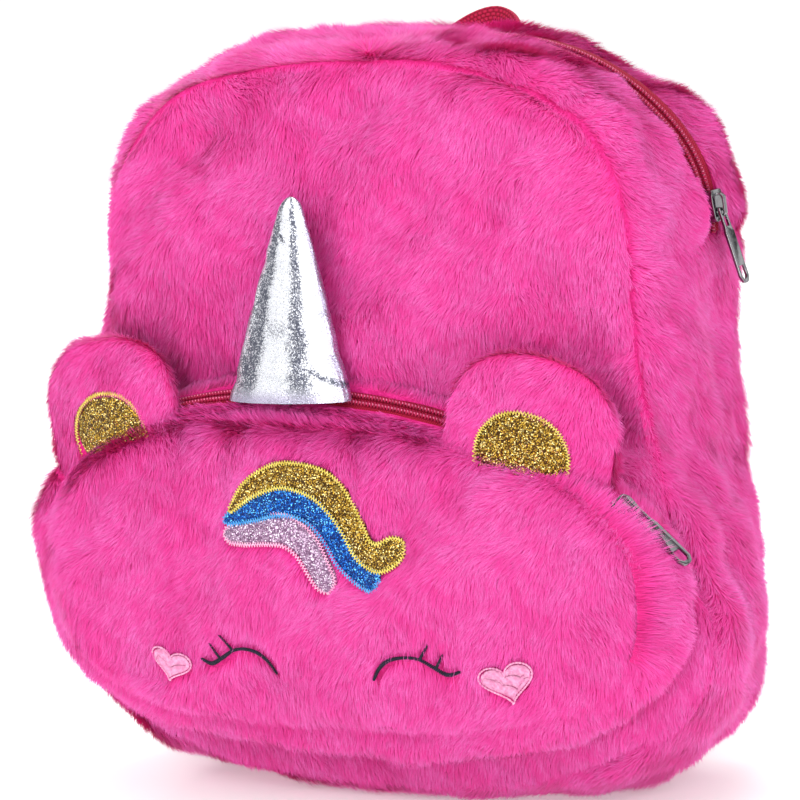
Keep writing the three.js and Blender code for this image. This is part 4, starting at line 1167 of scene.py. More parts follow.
class Pile:
    """Grows strands on skins, brushed along one smooth nap."""

    def __init__(self, cut: PileCut, material: Material) -> None:
        """Draw the nap's noises.

        Args:
            cut: How the pile is cut.
            material: The strands' material.
        """
        self.cut = cut
        self.material = material
        self.swirl = SoftNoise(11, 70)
        self.brush = SoftNoise(12, 24)
        self.fine = SoftNoise(13, 9)
        self.shade = SoftNoise(14, 30)
        self.streak = SoftNoise(15, 7)
        self.warp = [SoftNoise(16 + k, 6) for k in range(3)]

    def clumps(self, points: Array) -> tuple[Array, Array]:
        """Way to the middle of each strand's clump, and a random number for the clump."""
        size = self.cut.clump
        warped = points + 0.35 * size * np.stack([noise(points) for noise in self.warp], axis=-1)
        cell = np.floor(warped / size)
        seeds = cell @ np.array([12.9898, 78.233, 37.719])
        draws = [np.modf(np.abs(np.sin(seeds + k) * 43758.5453))[0] for k in range(4)]
        middle = (cell + 0.3 + 0.4 * np.stack(draws[:3], axis=-1)) * size
        return middle - warped, draws[3]

    def samples(self, skin: Skin, rng: np.random.Generator) -> tuple[Array, Array, Array]:
        """Spread roots over a skin by its area and density.

        Args:
            skin: The skin.
            rng: Source of the random draws.

        Returns:
            Roots, normals, and rows of the distance from a seam, the length, the stand and the density.
        """
        quads = skin.faces()
        corners = np.concatenate([quads[:, [0, 1, 2]], quads[:, [0, 2, 3]]])
        points, normals = skin.points.reshape(-1, 3), skin.normals.reshape(-1, 3)
        facts = (skin.seam, skin.length, skin.stand, skin.density)
        facts = np.stack([fact.ravel() for fact in facts], axis=-1)
        a, b, c = (points[corners[:, k]] for k in range(3))
        weight = np.linalg.norm(np.cross(b - a, c - a), axis=1) / 2
        weight = weight * skin.density.ravel()[corners].mean(axis=1)
        total = np.cumsum(weight)
        count = int(total[-1] * self.cut.per_mm2)
        pick = np.searchsorted(total, (np.arange(count) + rng.random(count)) / count * total[-1])
        pick = corners[np.minimum(pick, len(corners) - 1)]
        u, v = rng.random(count), rng.random(count)
        over = u + v > 1
        u[over], v[over] = 1 - u[over], 1 - v[over]
        shares = np.stack([1 - u - v, u, v], axis=-1)[..., None]
        found = (facts[pick] * shares).sum(axis=1)
        return (points[pick] * shares).sum(axis=1), unit((normals[pick] * shares).sum(axis=1)), found.T

    def grow(self, name: str, skin: Skin, seed: int,
             keep: Callable[[Array, Array], tuple[Array, Array]] | None = None,
             nap: Sequence[float] = (0.0, -0.3, -1.0), fan: float = 0.0) -> Object:
        """Grow the pile of one skin.

        Args:
            name: The object's name.
            skin: The skin.
            seed: Seed of the random draws.
            keep: Takes roots and tips, and gives a mask of strands to keep and a length factor.
            nap: Way in which the pile is brushed.
            fan: How far it follows the outline over the top and under the bottom.

        Returns:
            The pile's object.
        """
        cut, rng = self.cut, np.random.default_rng(seed)
        root, normal, (seam, length, stand, density) = self.samples(skin, rng)
        count = len(root)
        sideways = 0.15 * self.swirl(root) + fan * (root[:, 0] - 12) * (root[:, 2] - 150) / 6000
        flow = np.asarray(nap, float) + np.stack([sideways, 0 * seam, 0 * seam], axis=-1)
        flow = unit(flow - normal * (flow * normal).sum(axis=1, keepdims=True))
        side = np.cross(normal, flow)
        patch = smoothstep(np.abs(self.brush(root)), 0.75, 1.35)
        turn = 0.12 * self.swirl(root) + 0.11 * self.brush(root) + 0.07 * self.fine(root)
        turn = turn + 0.25 * patch * np.sign(self.brush(root)) + rng.normal(0, 0.18, count)
        lay = flow * np.cos(turn)[:, None] + side * np.sin(turn)[:, None]
        lift = cut.lift + stand + 0.03 * self.fine(root) + 0.08 * patch + rng.normal(0, 0.09, count)
        pull, clump = self.clumps(root)
        near = smoothstep(seam, 0.0, 7.0)
        reach = cut.length * length * (0.68 + 0.32 * near)
        reach = reach * rng.uniform(0.72, 1.12, count) * (0.9 + 0.2 * clump)
        tip = root + (lay * np.cos(lift)[:, None] + normal * np.sin(lift)[:, None]) * reach[:, None]
        pull = pull - normal * (pull * normal).sum(axis=1, keepdims=True)
        tip = tip + pull * cut.gather
        # Random tone of each strand, lowered within 4 mm of a seam as painted shade in the seam's crease.
        tone = 0.58 + 0.07 * self.shade(root) + 0.07 * self.streak(root) + 0.2 * (clump - 0.5)
        tone = tone + rng.uniform(-0.22, 0.22, count) - 0.12 * (1 - smoothstep(seam, 0.0, 4.0))
        stay = np.ones(count, bool)
        if keep is not None:
            stay, factor = keep(root, tip)
            tip = root + (tip - root) * factor[:, None]
        toward = unit(normal + stand[:, None] * np.array([0.4, -1.6, 0.0]))
        across = unit(np.cross(normal, tip - root) + 0.5 * rng.normal(size=(count, 3)))
        width = cut.half_width * np.maximum(density, 0.1) ** -0.45 * rng.uniform(0.75, 1.25, count)
        across = across * width[:, None]
        shading = unit(toward + 0.22 * rng.normal(size=(count, 3)) + 0.15 * (tip - root) / reach[:, None])
        base = root - normal * 0.2
        strands = np.stack([base - across, base + across, tip], axis=1)[stay]
        facing = np.cross(strands[:, 1] - strands[:, 0], strands[:, 2] - strands[:, 0])
        turned = (facing * toward[stay]).sum(axis=1) < 0
        strands[turned] = strands[turned][:, [1, 0, 2]]
        strands[..., 2] = np.maximum(strands[..., 2], cut.floor)
        tone = np.clip(tone[stay], 0.02, 0.98)
        uv = np.stack([
            np.stack([tone - 0.006, 0 * tone + 0.01], axis=-1),
            np.stack([tone + 0.006, 0 * tone + 0.01], axis=-1),
            np.stack([tone, 0 * tone + 0.99], axis=-1),
        ], axis=1)
        kept = len(strands)
        mesh = fast_mesh(
            name, strands.reshape(-1, 3), np.arange(kept * 3).reshape(-1, 3),
            normals=np.repeat(shading[stay], 3, axis=0), uv=uv.reshape(-1, 2),
        )
        return new_object(name, mesh, self.material)


def seam_relief(distance: Array, depth: float = 2.5, puff: float = 1.7) -> Array:
    """Height of a cloth beside a seam: pulled in at it and puffed up beyond."""
    return puff * bump((distance - 11) / 6.5) - depth * bump(distance / 3.4)


class Wrinkles:
    """Soft folds of the stuffed cloth."""

    wide = SoftNoise(31, 60)
    small = SoftNoise(32, 20)
    bulges: tuple = (
        ((-118, -25, 190), 38, 7.0), ((-95, -5, 268), 42, 3.5), ((-124, -62, 108), 30, 3.5),
        ((140, 15, 38), 45, -4.0), ((74, 42, 285), 30, -6.0),
    )

    @classmethod
    def settle(cls, skin: Skin, seams: Iterable[tuple[Array, Array, float]], amount: float = 1.0) -> Skin:
        """Pull a skin in at its seams and fold it between them.

        Args:
            skin: The smooth skin.
            seams: Distance from each seam, the outward direction of the cloth beyond it and its depth.
            amount: Depth of the folds.

        Returns:
            The skin with its folds.
        """
        shift = np.zeros_like(skin.points)
        fade = np.ones(skin.points.shape[:2])
        nearest = np.full(skin.points.shape[:2], 99.0)
        for distance, partner, depth in seams:
            way = unit(skin.normals + bump(distance / 6)[..., None] * partner)
            pull = depth * (0.8 + 0.35 * cls.wide(skin.points))
            shift = shift + way * (pull * seam_relief(distance))[..., None]
            fade = fade * (1 - bump(distance / 9))
            nearest = np.minimum(nearest, distance)
        folds = (1.1 * cls.wide(skin.points) + 0.55 * cls.small(skin.points)) * fade * amount
        for middle, radius, height in cls.bulges:
            folds = folds + height * bump(np.linalg.norm(skin.points - np.array(middle), axis=-1) / radius)
        shift = shift + skin.normals * folds[..., None]
        points = skin.points + shift
        points[..., 2] = np.maximum(points[..., 2], 0.1)
        return Skin(points, skin.outwards, skin.wrap, nearest, skin.density, skin.length, skin.stand)


def rounded_solid(node: str, name: str, edge: float, profile: float, clamp: bool) -> Mesh:
    """Copy the mesh of a solid and round its edges.

    Args:
        node: The solid's name.
        name: The new mesh's name.
        edge: Width of the rounding, in metres.
        profile: Its shape, where 0.5 is round.
        clamp: True to keep roundings from running into each other.

    Returns:
        The mesh.
    """
    work = bmesh.new()
    work.from_mesh(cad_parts[node].data)
    bmesh.ops.remove_doubles(work, verts=work.verts, dist=1e-6)
    bmesh.ops.dissolve_limit(work, angle_limit=math.radians(1), verts=work.verts, edges=work.edges)
    sharp = [line for line in work.edges if line.calc_face_angle(0) > math.radians(20)]
    bmesh.ops.bevel(work, geom=sharp, offset=edge, segments=3, affect="EDGES", profile=profile,
                    clamp_overlap=clamp)
    mesh = bpy.data.meshes.new(name)
    work.to_mesh(mesh)
    work.free()
    mesh.polygons.foreach_set("use_smooth", [True] * len(mesh.polygons))
    mesh.set_sharp_from_angle(angle=math.radians(50))
    return mesh


class Part:
    """Shared work of the sub-assemblies: riding, replacing and logging each piece's triangles."""

    def attach(self, piece: Object, slot: str, *nodes: str, body: str = BAG) -> Object:
        """Let a piece ride on its body and stand for solids.

        Args:
            piece: The piece.
            slot: Its material slot; not used.
            nodes: Names of the solids that it replaces.
            body: The body that it rides on.

        Returns:
            The piece.
        """
        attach(piece, body)
        if nodes:
            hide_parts(*nodes)
        faces = sum(len(polygon.vertices) - 2 for polygon in piece.data.polygons)
        log.info("%s: %d triangles", piece.name, faces)
        return piece


def panel_skin(outline: Outline, height: Callable[[Array, Array, Array], Array], rows: int, step: float,
               sign: float) -> tuple[Skin, Array, Array]:
    """Round grid over a panel, from its middle to its outline.

    Args:
        outline: The panel's outline.
        height: Gives the depth at x, z and share.
        rows: Rings of the grid.
        step: Spacing along the outline.
        sign: -1 for the front and 1 for the back.

    Returns:
        The skin, the distance from its seam and the outline's outward direction.
    """
    places = FORM.places(0, 6, step)[:-1]
    shares = (1 - (1 - np.linspace(0, 1, rows)) ** 1.7)[:, None]
    edge = FORM.outline_point(outline, places)[None]
    x = edge[..., 0] * shares
    z = FORM.middle_z + (edge[..., 1] - FORM.middle_z) * shares
    share = np.broadcast_to(shares, x.shape)
    points = np.stack([x, height(x, z, share), z], axis=-1)
    outwards = np.zeros_like(points)
    outwards[..., 1] = sign
    normal = FORM.outline_normal(outline, places)
    partner = np.broadcast_to(upright(normal), points.shape)
    reach = np.hypot(edge[..., 0], edge[..., 1] - FORM.middle_z)
    return Skin(points, outwards, True), (1 - share) * reach, partner


def gusset_skin(start: float, end: float, step: float, columns: int, low: float | None,
                high: float | None) -> tuple[Skin, list[tuple[Array, Array, float]]]:
    """Grid over a strip of the gusset.

    Args:
        start: First place along the outline.
        end: Last place.
        step: Spacing along the outline.
        columns: Points across the strip.
        low: Depth of its front edge, or None for the front seam.
        high: Depth of its back edge, or None for the back seam.

    Returns:
        The skin, and its seams for settling.
    """
    places = FORM.places(start, end, step)[:, None]
    seam = FORM.front_seam_y(FORM.outline_point(FORM.front, places)[..., 1])
    first = seam if low is None else low + FORM.bow(places)
    last = FORM.half + 0 * seam if high is None else high + FORM.bow(places)
    ease = 0.5 - 0.5 * np.cos(np.linspace(0, math.pi, columns))[None]
    y = first + (last - first) * (0.35 * ease + 0.65 * np.linspace(0, 1, columns)[None])
    place = np.broadcast_to(places, y.shape)
    points = FORM.gusset(place, y)
    out = FORM.outline_normal(FORM.front, place)
    outwards = upright(out)
    along = run_along(points[:, columns // 2])[:, None]
    ahead = unit(np.gradient(points, axis=0))
    seams = [
        (np.abs(y - seam) + 0 * y, along_y(points, -1), 1.0),
        (np.abs(FORM.half - y), along_y(points, 1), 1.0),
        (np.broadcast_to(along, y.shape), -ahead, 0.3),
        (np.broadcast_to(along[-1] - along, y.shape), ahead, 0.3),
    ]
    return Skin(points, outwards), seams


class BagBody(Part):
    """The plush panels and gusset of the main bag."""

    def __init__(self, pile: Pile, ground: Material) -> None:
        """Keep the finishes.

        Args:
            pile: Grows the strands.
            ground: Material of the cloth beneath.
        """
        self.pile = pile
        self.ground = ground

    def clothe(self, name: str, skin: Skin, seed: int, nodes: Sequence[str],
               keep: Callable[[Array, Array], tuple[Array, Array]] | None = None,
               fill: float = 0.6, nap: Sequence[float] = (0.0, -0.3, -1.0), fan: float = 0.0) -> None:
        """Build one panel's cloth and its pile.

        Args:
            name: Name of the panel.
            skin: Its settled skin.
            seed: Seed of its pile.
            nodes: Solids that it replaces.
            keep: Filter of its strands.
            fill: How full it is stuffed; not used.
            nap: Way in which its pile is brushed.
            fan: How far the pile follows the bag's outline.
        """
        cloth = self.attach(skin.hemmed().build(f"{name}_cloth", self.ground), "plush", *nodes)
        self.attach(self.pile.grow(f"{name}_pile", skin, seed, keep, nap, fan), "plush")

    def front(self) -> None:
        """Front panel, bare of pile where the pocket covers it."""
        skin, distance, partner = panel_skin(FORM.front, FORM.front_y, 48, 4.6, -1)
        skin = Wrinkles.settle(skin, [(distance, partner, 1.0)], 1.2)
        skin.density[:] = 1.12
        angles = np.linspace(0, 2 * math.pi, 160, endpoint=False)
        hidden = FORM.face_edge(FORM.base, angles)
        hidden = (hidden - [0, FORM.face_z]) * 0.97 + [0, FORM.face_z]

        def keep(root: Array, tip: Array) -> tuple[Array, Array]:
            """Leave out what the pocket hides."""
            return ~inside_outline(root[:, [0, 2]], hidden), np.ones(len(root))

        self.clothe("front_panel", skin, 101, ["front_panel"], keep)

    def back(self, straps: "Straps") -> None:
        """Back panel, with the pile pressed flat under the straps' ends."""
        skin, distance, partner = panel_skin(FORM.back, lambda x, z, share: FORM.back_y(share), 32, 6.5, 1)
        skin = Wrinkles.settle(skin, [(distance, partner, 1.0)], 0.8)
        skin.density[:] = 0.36

        def keep(root: Array, tip: Array) -> tuple[Array, Array]:
            """Leave out what lies under a strap's end."""
            return ~straps.pressed(root), np.where(straps.pressed(tip), 0.4, 1.0)

        self.clothe("back_panel", skin, 102, ["back_panel"], keep, nap=(0.0, 0.3, -1.0))

    def gussets(self) -> None:
        """Lower gusset and the two strips beside the main zip."""
        skin, seams = gusset_skin(-FORM.zip_end - 0.01, FORM.zip_end + 0.01, 4.5, 26, None, None)
        skin = Wrinkles.settle(skin, seams, 1.2)
        x, z = skin.points[..., 0], skin.points[..., 2]
        skin.density = (0.7 + 0.3 * smoothstep(x, -40, 10)) * np.where(z < 10, 0.5, 1.0)
        self.clothe("bottom_gusset", skin, 103, ["bottom_gusset"], nap=(0.0, 0.25, -1.0), fan=1.0)
        start, end = FORM.zip_end - 0.01, 6.01 - FORM.zip_end
        low, high = FORM.zip_y - FORM.tape_width / 2, FORM.zip_y + FORM.tape_width / 2
        for name, first, last, columns, seed in (
            ("zip_gusset_front", None, low, 18, 104), ("zip_gusset_back", high, None, 11, 105),
        ):
            skin, seams = gusset_skin(start, end, 4.5, columns, first, last)
            skin = Wrinkles.settle(skin, seams, 0.9)
            mark = skin.points[:, -1 if first is None else 0, 1]
            edge = np.abs(skin.points[..., 1] - mark[:, None])
            top = smoothstep(skin.outwards[..., 2], 0.6, 0.97)
            skin.length = 0.38 + 0.62 * smoothstep(edge, 0, 10) + 0.3 * top * bump(edge / 8)
            if first is None:
                crest = 2.6 * top * bump((edge - 8) / 7)
                skin.points += skin.normals * crest[..., None]
                skin.normals = skin.grid_normals()
            else:
                skin.length = np.maximum(skin.length, 0.6)
            skin.density = np.where(skin.points[..., 0] > -60, 1.15, 0.6)
            self.clothe(name, skin, seed, [name], nap=(0.0, 0.3 if first is None else -0.3, -0.7), fan=1.0)


class Patchwork:
    """Outlines on the face that the pile keeps clear of."""

    mane: dict[str, tuple] = {
        "mane_gold": (
            (-37.5, 120.5, 1), (-27, 129.5, 3.6), (-14.5, 134.5, 4.8), (-3.5, 134, 5.4), (6.5, 130.5, 5.6),
            (14, 123, 5.2), (18.5, 114.5, 4.8), (22.5, 107.5, 4.8), (29, 105, 5.4), (36, 108, 5.2),
            (40, 111, 4.6),
        ),
        "mane_blue": (
            (-40.5, 116.5, 1.8), (-28, 121, 4.4), (-14.5, 125.5, 6), (-4.5, 125, 6), (4, 121, 6),
            (10.5, 113, 6), (15.5, 104.5, 6), (21.5, 98.5, 5.4), (29.5, 96.5, 5.2),
        ),
        "mane_pink": (
            (-40.5, 111.5, 3.2), (-30, 113, 5), (-18.5, 114.5, 5.8), (-10, 114, 6), (-3.5, 109.5, 6),
            (0.5, 102.5, 5.6), (3.5, 96, 5.2), (5, 91, 4.8),
        ),
    }
    eye: tuple = (
        (22, 58, 0.7), (25.5, 63, 1), (30, 66.2, 1), (36, 67.5, 0.8), (42, 67, 0.8), (48, 64, 1.1),
        (54, 61.5, 1.1), (60, 63, 0.6),
    )
    lashes: tuple = (
        ((42.5, 66.5, 0.8), (44.5, 69, 0.7), (48, 73, 0.45)),
        ((49, 63.5, 0.8), (51, 66, 0.7), (53.5, 69.5, 0.45)),
    )
    hearts: dict[str, tuple[float, float, float, float]] = {
        "heart_left": (-69.5, 60.5, -16, 0.84), "heart_right": (77.5, 59.5, 12, 1.0),
    }
    heart_size: tuple[float, float] = (21.0, 14.5)

    @staticmethod
    def band(rows: tuple, steps: int, grow: float = 0.0) -> tuple[Array, Array, Array]:
        """Middle line, sideways direction and half width of a band.

        Args:
            rows: Its table of x, z and half width.
            steps: Steps along it.
            grow: Added to its half width.

        Returns:
            The three arrays.
        """
        samples = Smooth(rows).at(np.linspace(0, 1, steps + 1))
        along = unit(np.gradient(samples[:, :2], axis=0))
        run = run_along(samples[:, :2])
        half = samples[:, 2]
        for end in (run, run[-1] - run):
            share = np.clip(1 - end / np.maximum(half, 0.1), 0, 1)
            half = half * np.sqrt(1 - share**2)
        return samples[:, :2], np.stack([-along[:, 1], along[:, 0]], axis=-1), np.maximum(half, 0.05) + grow

    @classmethod
    def band_outline(cls, rows: tuple, steps: int, grow: float = 0.0) -> Array:
        """Closed outline of a band."""
        middle, side, half = cls.band(rows, steps, grow)
        left, right = middle + side * half[:, None], middle - side * half[:, None]
        return np.concatenate([left, right[::-1]])

    @classmethod
    def heart(cls, name: str, grow: float = 0.0) -> Array:
        """Outline of a heart."""
        x, z, turn, size = cls.hearts[name]
        angle = np.linspace(0, 2 * math.pi, 60, endpoint=False)
        wide = (cls.heart_size[0] * size + grow) / 2 * np.sin(angle) ** 3
        wave = 13 * np.cos(angle) - 5 * np.cos(2 * angle) - 2 * np.cos(3 * angle) - np.cos(4 * angle)
        high = (cls.heart_size[1] * size + grow) / 29 * wave
        cosine, sine = math.cos(math.radians(turn)), math.sin(math.radians(turn))
        return np.stack([x + wide * cosine - high * sine, z + wide * sine + high * cosine], axis=-1)

    @classmethod
    def mirrored(cls, rows: tuple, sign: int) -> tuple:
        """Rows on the left or right side of the face; the left eye is drawn in a little."""
        if sign > 0:
            return rows
        return tuple((-22 - (x - 22) * 0.87, z, half) for x, z, half in rows)

    @classmethod
    def clear(cls) -> tuple[list[Array], list[Array]]:
        """Outlines that stay bare, and outlines that strands may only just reach into."""
        bare = [cls.band_outline(rows, 40, 0.2) for rows in cls.mane.values()]
        bare += [cls.heart(name, 0.5) for name in cls.hearts]
        fine = []
        for sign in (-1, 1):
            fine.append(cls.band_outline(cls.mirrored(cls.eye, sign), 24, 0.5))
            fine += [cls.band_outline(cls.mirrored(lash, sign), 6, 0.4) for lash in cls.lashes]
        return bare, fine


class FacePocket(BagBody):
    """The face-shaped front pocket."""

    def even_angles(self, start: float, end: float, step: float) -> Array:
        """Angles that lie evenly along the face's seam."""
        fine = np.linspace(start, end, 5000)
        total = run_along(FORM.face_edge(FORM.seam, fine))
        return np.interp(np.linspace(0, total[-1], round(total[-1] / step)), total, fine)

    def face(self) -> None:
        """The face, rolled over its seam."""
        angles = self.even_angles(0, 2 * math.pi, 3.9)[:-1]
        shares = 1 - (1 - np.linspace(0, 1, 40)) ** 1.6
        disc = FORM.face(angles[None], shares[:, None] + 0 * angles[None])
        lip = np.stack([FORM.pocket(angles, np.full_like(angles, depth)) for depth in (1.2, 2.2, 3.2)])
        points = np.concatenate([disc, lip])
        normal = FORM.face_normal(angles)
        partner = upright(normal)
        outwards = np.zeros_like(points)
        outwards[..., 1] = -1
        outwards[-3:] = partner
        skin = Skin(points, outwards, True)
        reach = np.linalg.norm(FORM.face_edge(FORM.seam, angles) - [0, FORM.face_z], axis=-1)
        beyond = np.array([[1.2], [2.2], [3.2]]) + 0 * reach
        distance = np.concatenate([(1 - shares)[:, None] * reach, beyond])
        degrees = np.degrees(angles)[None]
        along_zip = smoothstep(degrees, 4, 14) * (1 - smoothstep(degrees, 150, 162))
        beside = 1 - smoothstep(degrees, 40, 60) * (1 - smoothstep(degrees, 300, 330))
        held = 1 - 0.4 * along_zip - 0.5 * beside
        skin = Wrinkles.settle(skin, [(distance, np.broadcast_to(partner, points.shape), held)], 1.0)
        self.face_skin = skin
        skin.density[:] = 1.4
        lip, wide_lip = bump(distance / 5), bump(distance / 11)
        under_horn = bump((degrees - 97) / 38)
        skin.stand = 0.15 * lip * along_zip + 0.8 * wide_lip * under_horn
        skin.length = 1 + 0.1 * lip * under_horn
        bare, fine = Patchwork.clear()

        def keep(root: Array, tip: Array) -> tuple[Array, Array]:
            """Keep clear of the trim."""
            stay, factor = np.ones(len(root), bool), np.ones(len(root))
            for outline in bare:
                stay &= ~inside_outline(root[:, [0, 2]], outline)
                factor = np.where(inside_outline(tip[:, [0, 2]], outline), 0.35, factor)
            for outline in fine:
                stay &= ~inside_outline(root[:, [0, 2]], outline)
                factor = np.where(inside_outline(tip[:, [0, 2]], outline), 0.45, factor)
                middle = (root[:, [0, 2]] + tip[:, [0, 2]]) / 2
                factor = np.where(inside_outline(middle, outline), 0.35, factor)
            return stay, factor

        self.clothe("pocket_face", skin, 111, ["pocket_face"], keep, fill=0.7)

    def rise(self, flat: Array) -> Array:
        """How far the settled face stands out from its plain form.

        Args:
            flat: X and Z places.

        Returns:
            The distance at each place.
        """
        grid = self.face_skin.points[:-7].reshape(-1, 3)
        stands = FORM.face_at(grid[:, 0], grid[:, 2])[:, 1] - grid[:, 1]
        places = flat.reshape(-1, 2)
        found = []
        for start in range(0, len(places), 2000):
            part = places[start:start + 2000]
            gap = ((part[:, None] - grid[None, :, [0, 2]]) ** 2).sum(axis=-1)
            near = np.argpartition(gap, 5, axis=1)[:, :5]
            weight = 1 / (np.take_along_axis(gap, near, axis=1) + 0.3)
            found.append((stands[near] * weight).sum(axis=1) / weight.sum(axis=1))
        return np.concatenate(found).reshape(flat.shape[:-1])

    def tuft(self) -> None:
        """Longer strands that fall from the face's edge over the slider."""
        degrees = np.linspace(-18, 48, 44)[:, None]
        distance = np.linspace(-1.5, 3.6, 6)[None] + 0 * degrees
        angle = np.radians(degrees) + 0 * distance
        normal = FORM.face_normal(angle)
        outwards = upright(normal)
        skin = Skin(FORM.pocket(angle, distance, 0.2), outwards)
        near = bump((degrees - 5) / 24) + 0 * distance
        skin.stand = 0.2 + 0.3 * near
        skin.length = 0.9 + 1.45 * near
        skin.density = 0.8 + 1.3 * near
        self.attach(self.pile.grow("slider_tuft_pile", skin, 114, None, (0.15, 1.0, -0.3)), "plush")

    def side(self, name: str, angles: Array, near: float, columns: int, seed: int,
             nap: Sequence[float]) -> None:
        """A strip of the pocket's side.

        Args:
            name: Name of the strip.
            angles: Its places round the face.
            near: Distance from the face's seam to its front edge.
            columns: Points across it.
            seed: Seed of its pile.
            nap: Way in which its pile is brushed.
        """
        depth = FORM.pocket_depth(angles)[:, None] + FORM.root * 0.4
        distance = near + (depth - near) * np.linspace(0, 1, columns)[None]
        angle = np.broadcast_to(angles[:, None], distance.shape)
        points = FORM.pocket(angle, distance)
        normal = FORM.face_normal(angle)
        outwards = upright(normal)
        ahead = along_y(points, -1)
        seams = [(distance, ahead, 1.0)] if near < 5 else []
        skin = Wrinkles.settle(Skin(points, outwards), seams, 0.6)
        skin.length = 0.7 + 0.3 * smoothstep(distance, near, near + 8)
        root = depth - FORM.root * 0.4 - distance
        skin.seam = np.minimum(skin.seam, np.maximum(0, root))
        self.clothe(name, skin, seed, [name], nap=nap)

    def sides(self) -> None:
        """The pocket's gusset and the strip behind its zip."""
        around = self.even_angles(FORM.zip_to, 2 * math.pi + FORM.zip_from, 3.4)
        self.side("pocket_gusset", around, 3.0, 12, 112, (0.0, 0.2, -1.0))
        over = self.even_angles(FORM.zip_from, FORM.zip_to, 3.4)
        near = FORM.wall + FORM.gap + FORM.pocket_tape
        self.side("pocket_top_strip", over, near, 6, 113, (0.0, 0.6, 0.8))


@dataclass(frozen=True)
class EarForm:
    """Sizes of a stuffed ear and its glitter patch."""

    half: float = 33
    up: float = 31
    down: float = 30
    power: float = 2.5
    thickness: float = 11
    rim: float = 2
    tilt: float = math.radians(10)
    turn: float = math.radians(8)
    patch_half: float = 18.5
    patch_up: float = 17
    patch_down: float = 24
    patch_power: float = 2.1
    patch_x: float = 1
    patch_z: float = -6

    def outline(self, angle: Array, patch: bool) -> Array:
        """X and Z of the lobe's or the patch's outline."""
        half, up, down, power = (
            (self.patch_half, self.patch_up, self.patch_down, self.patch_power) if patch
            else (self.half, self.up, self.down, self.power)
        )
        x = half * signed_power(np.cos(angle), 2 / power)
        z = np.where(np.sin(angle) > 0, up, down) * signed_power(np.sin(angle), 2 / power)
        return np.stack([x, z], axis=-1)

    def swell(self, x: Array, z: Array) -> Array:
        """Distance of the lobe's face from its middle plane."""
        rise = np.where(z > 0, self.up, self.down)
        share = (np.abs(x / self.half) ** self.power + np.abs(z / rise) ** self.power) ** (1 / self.power)
        return self.rim / 2 + (self.thickness - self.rim) / 2 * (1 - np.minimum(1, share) ** 2.5)


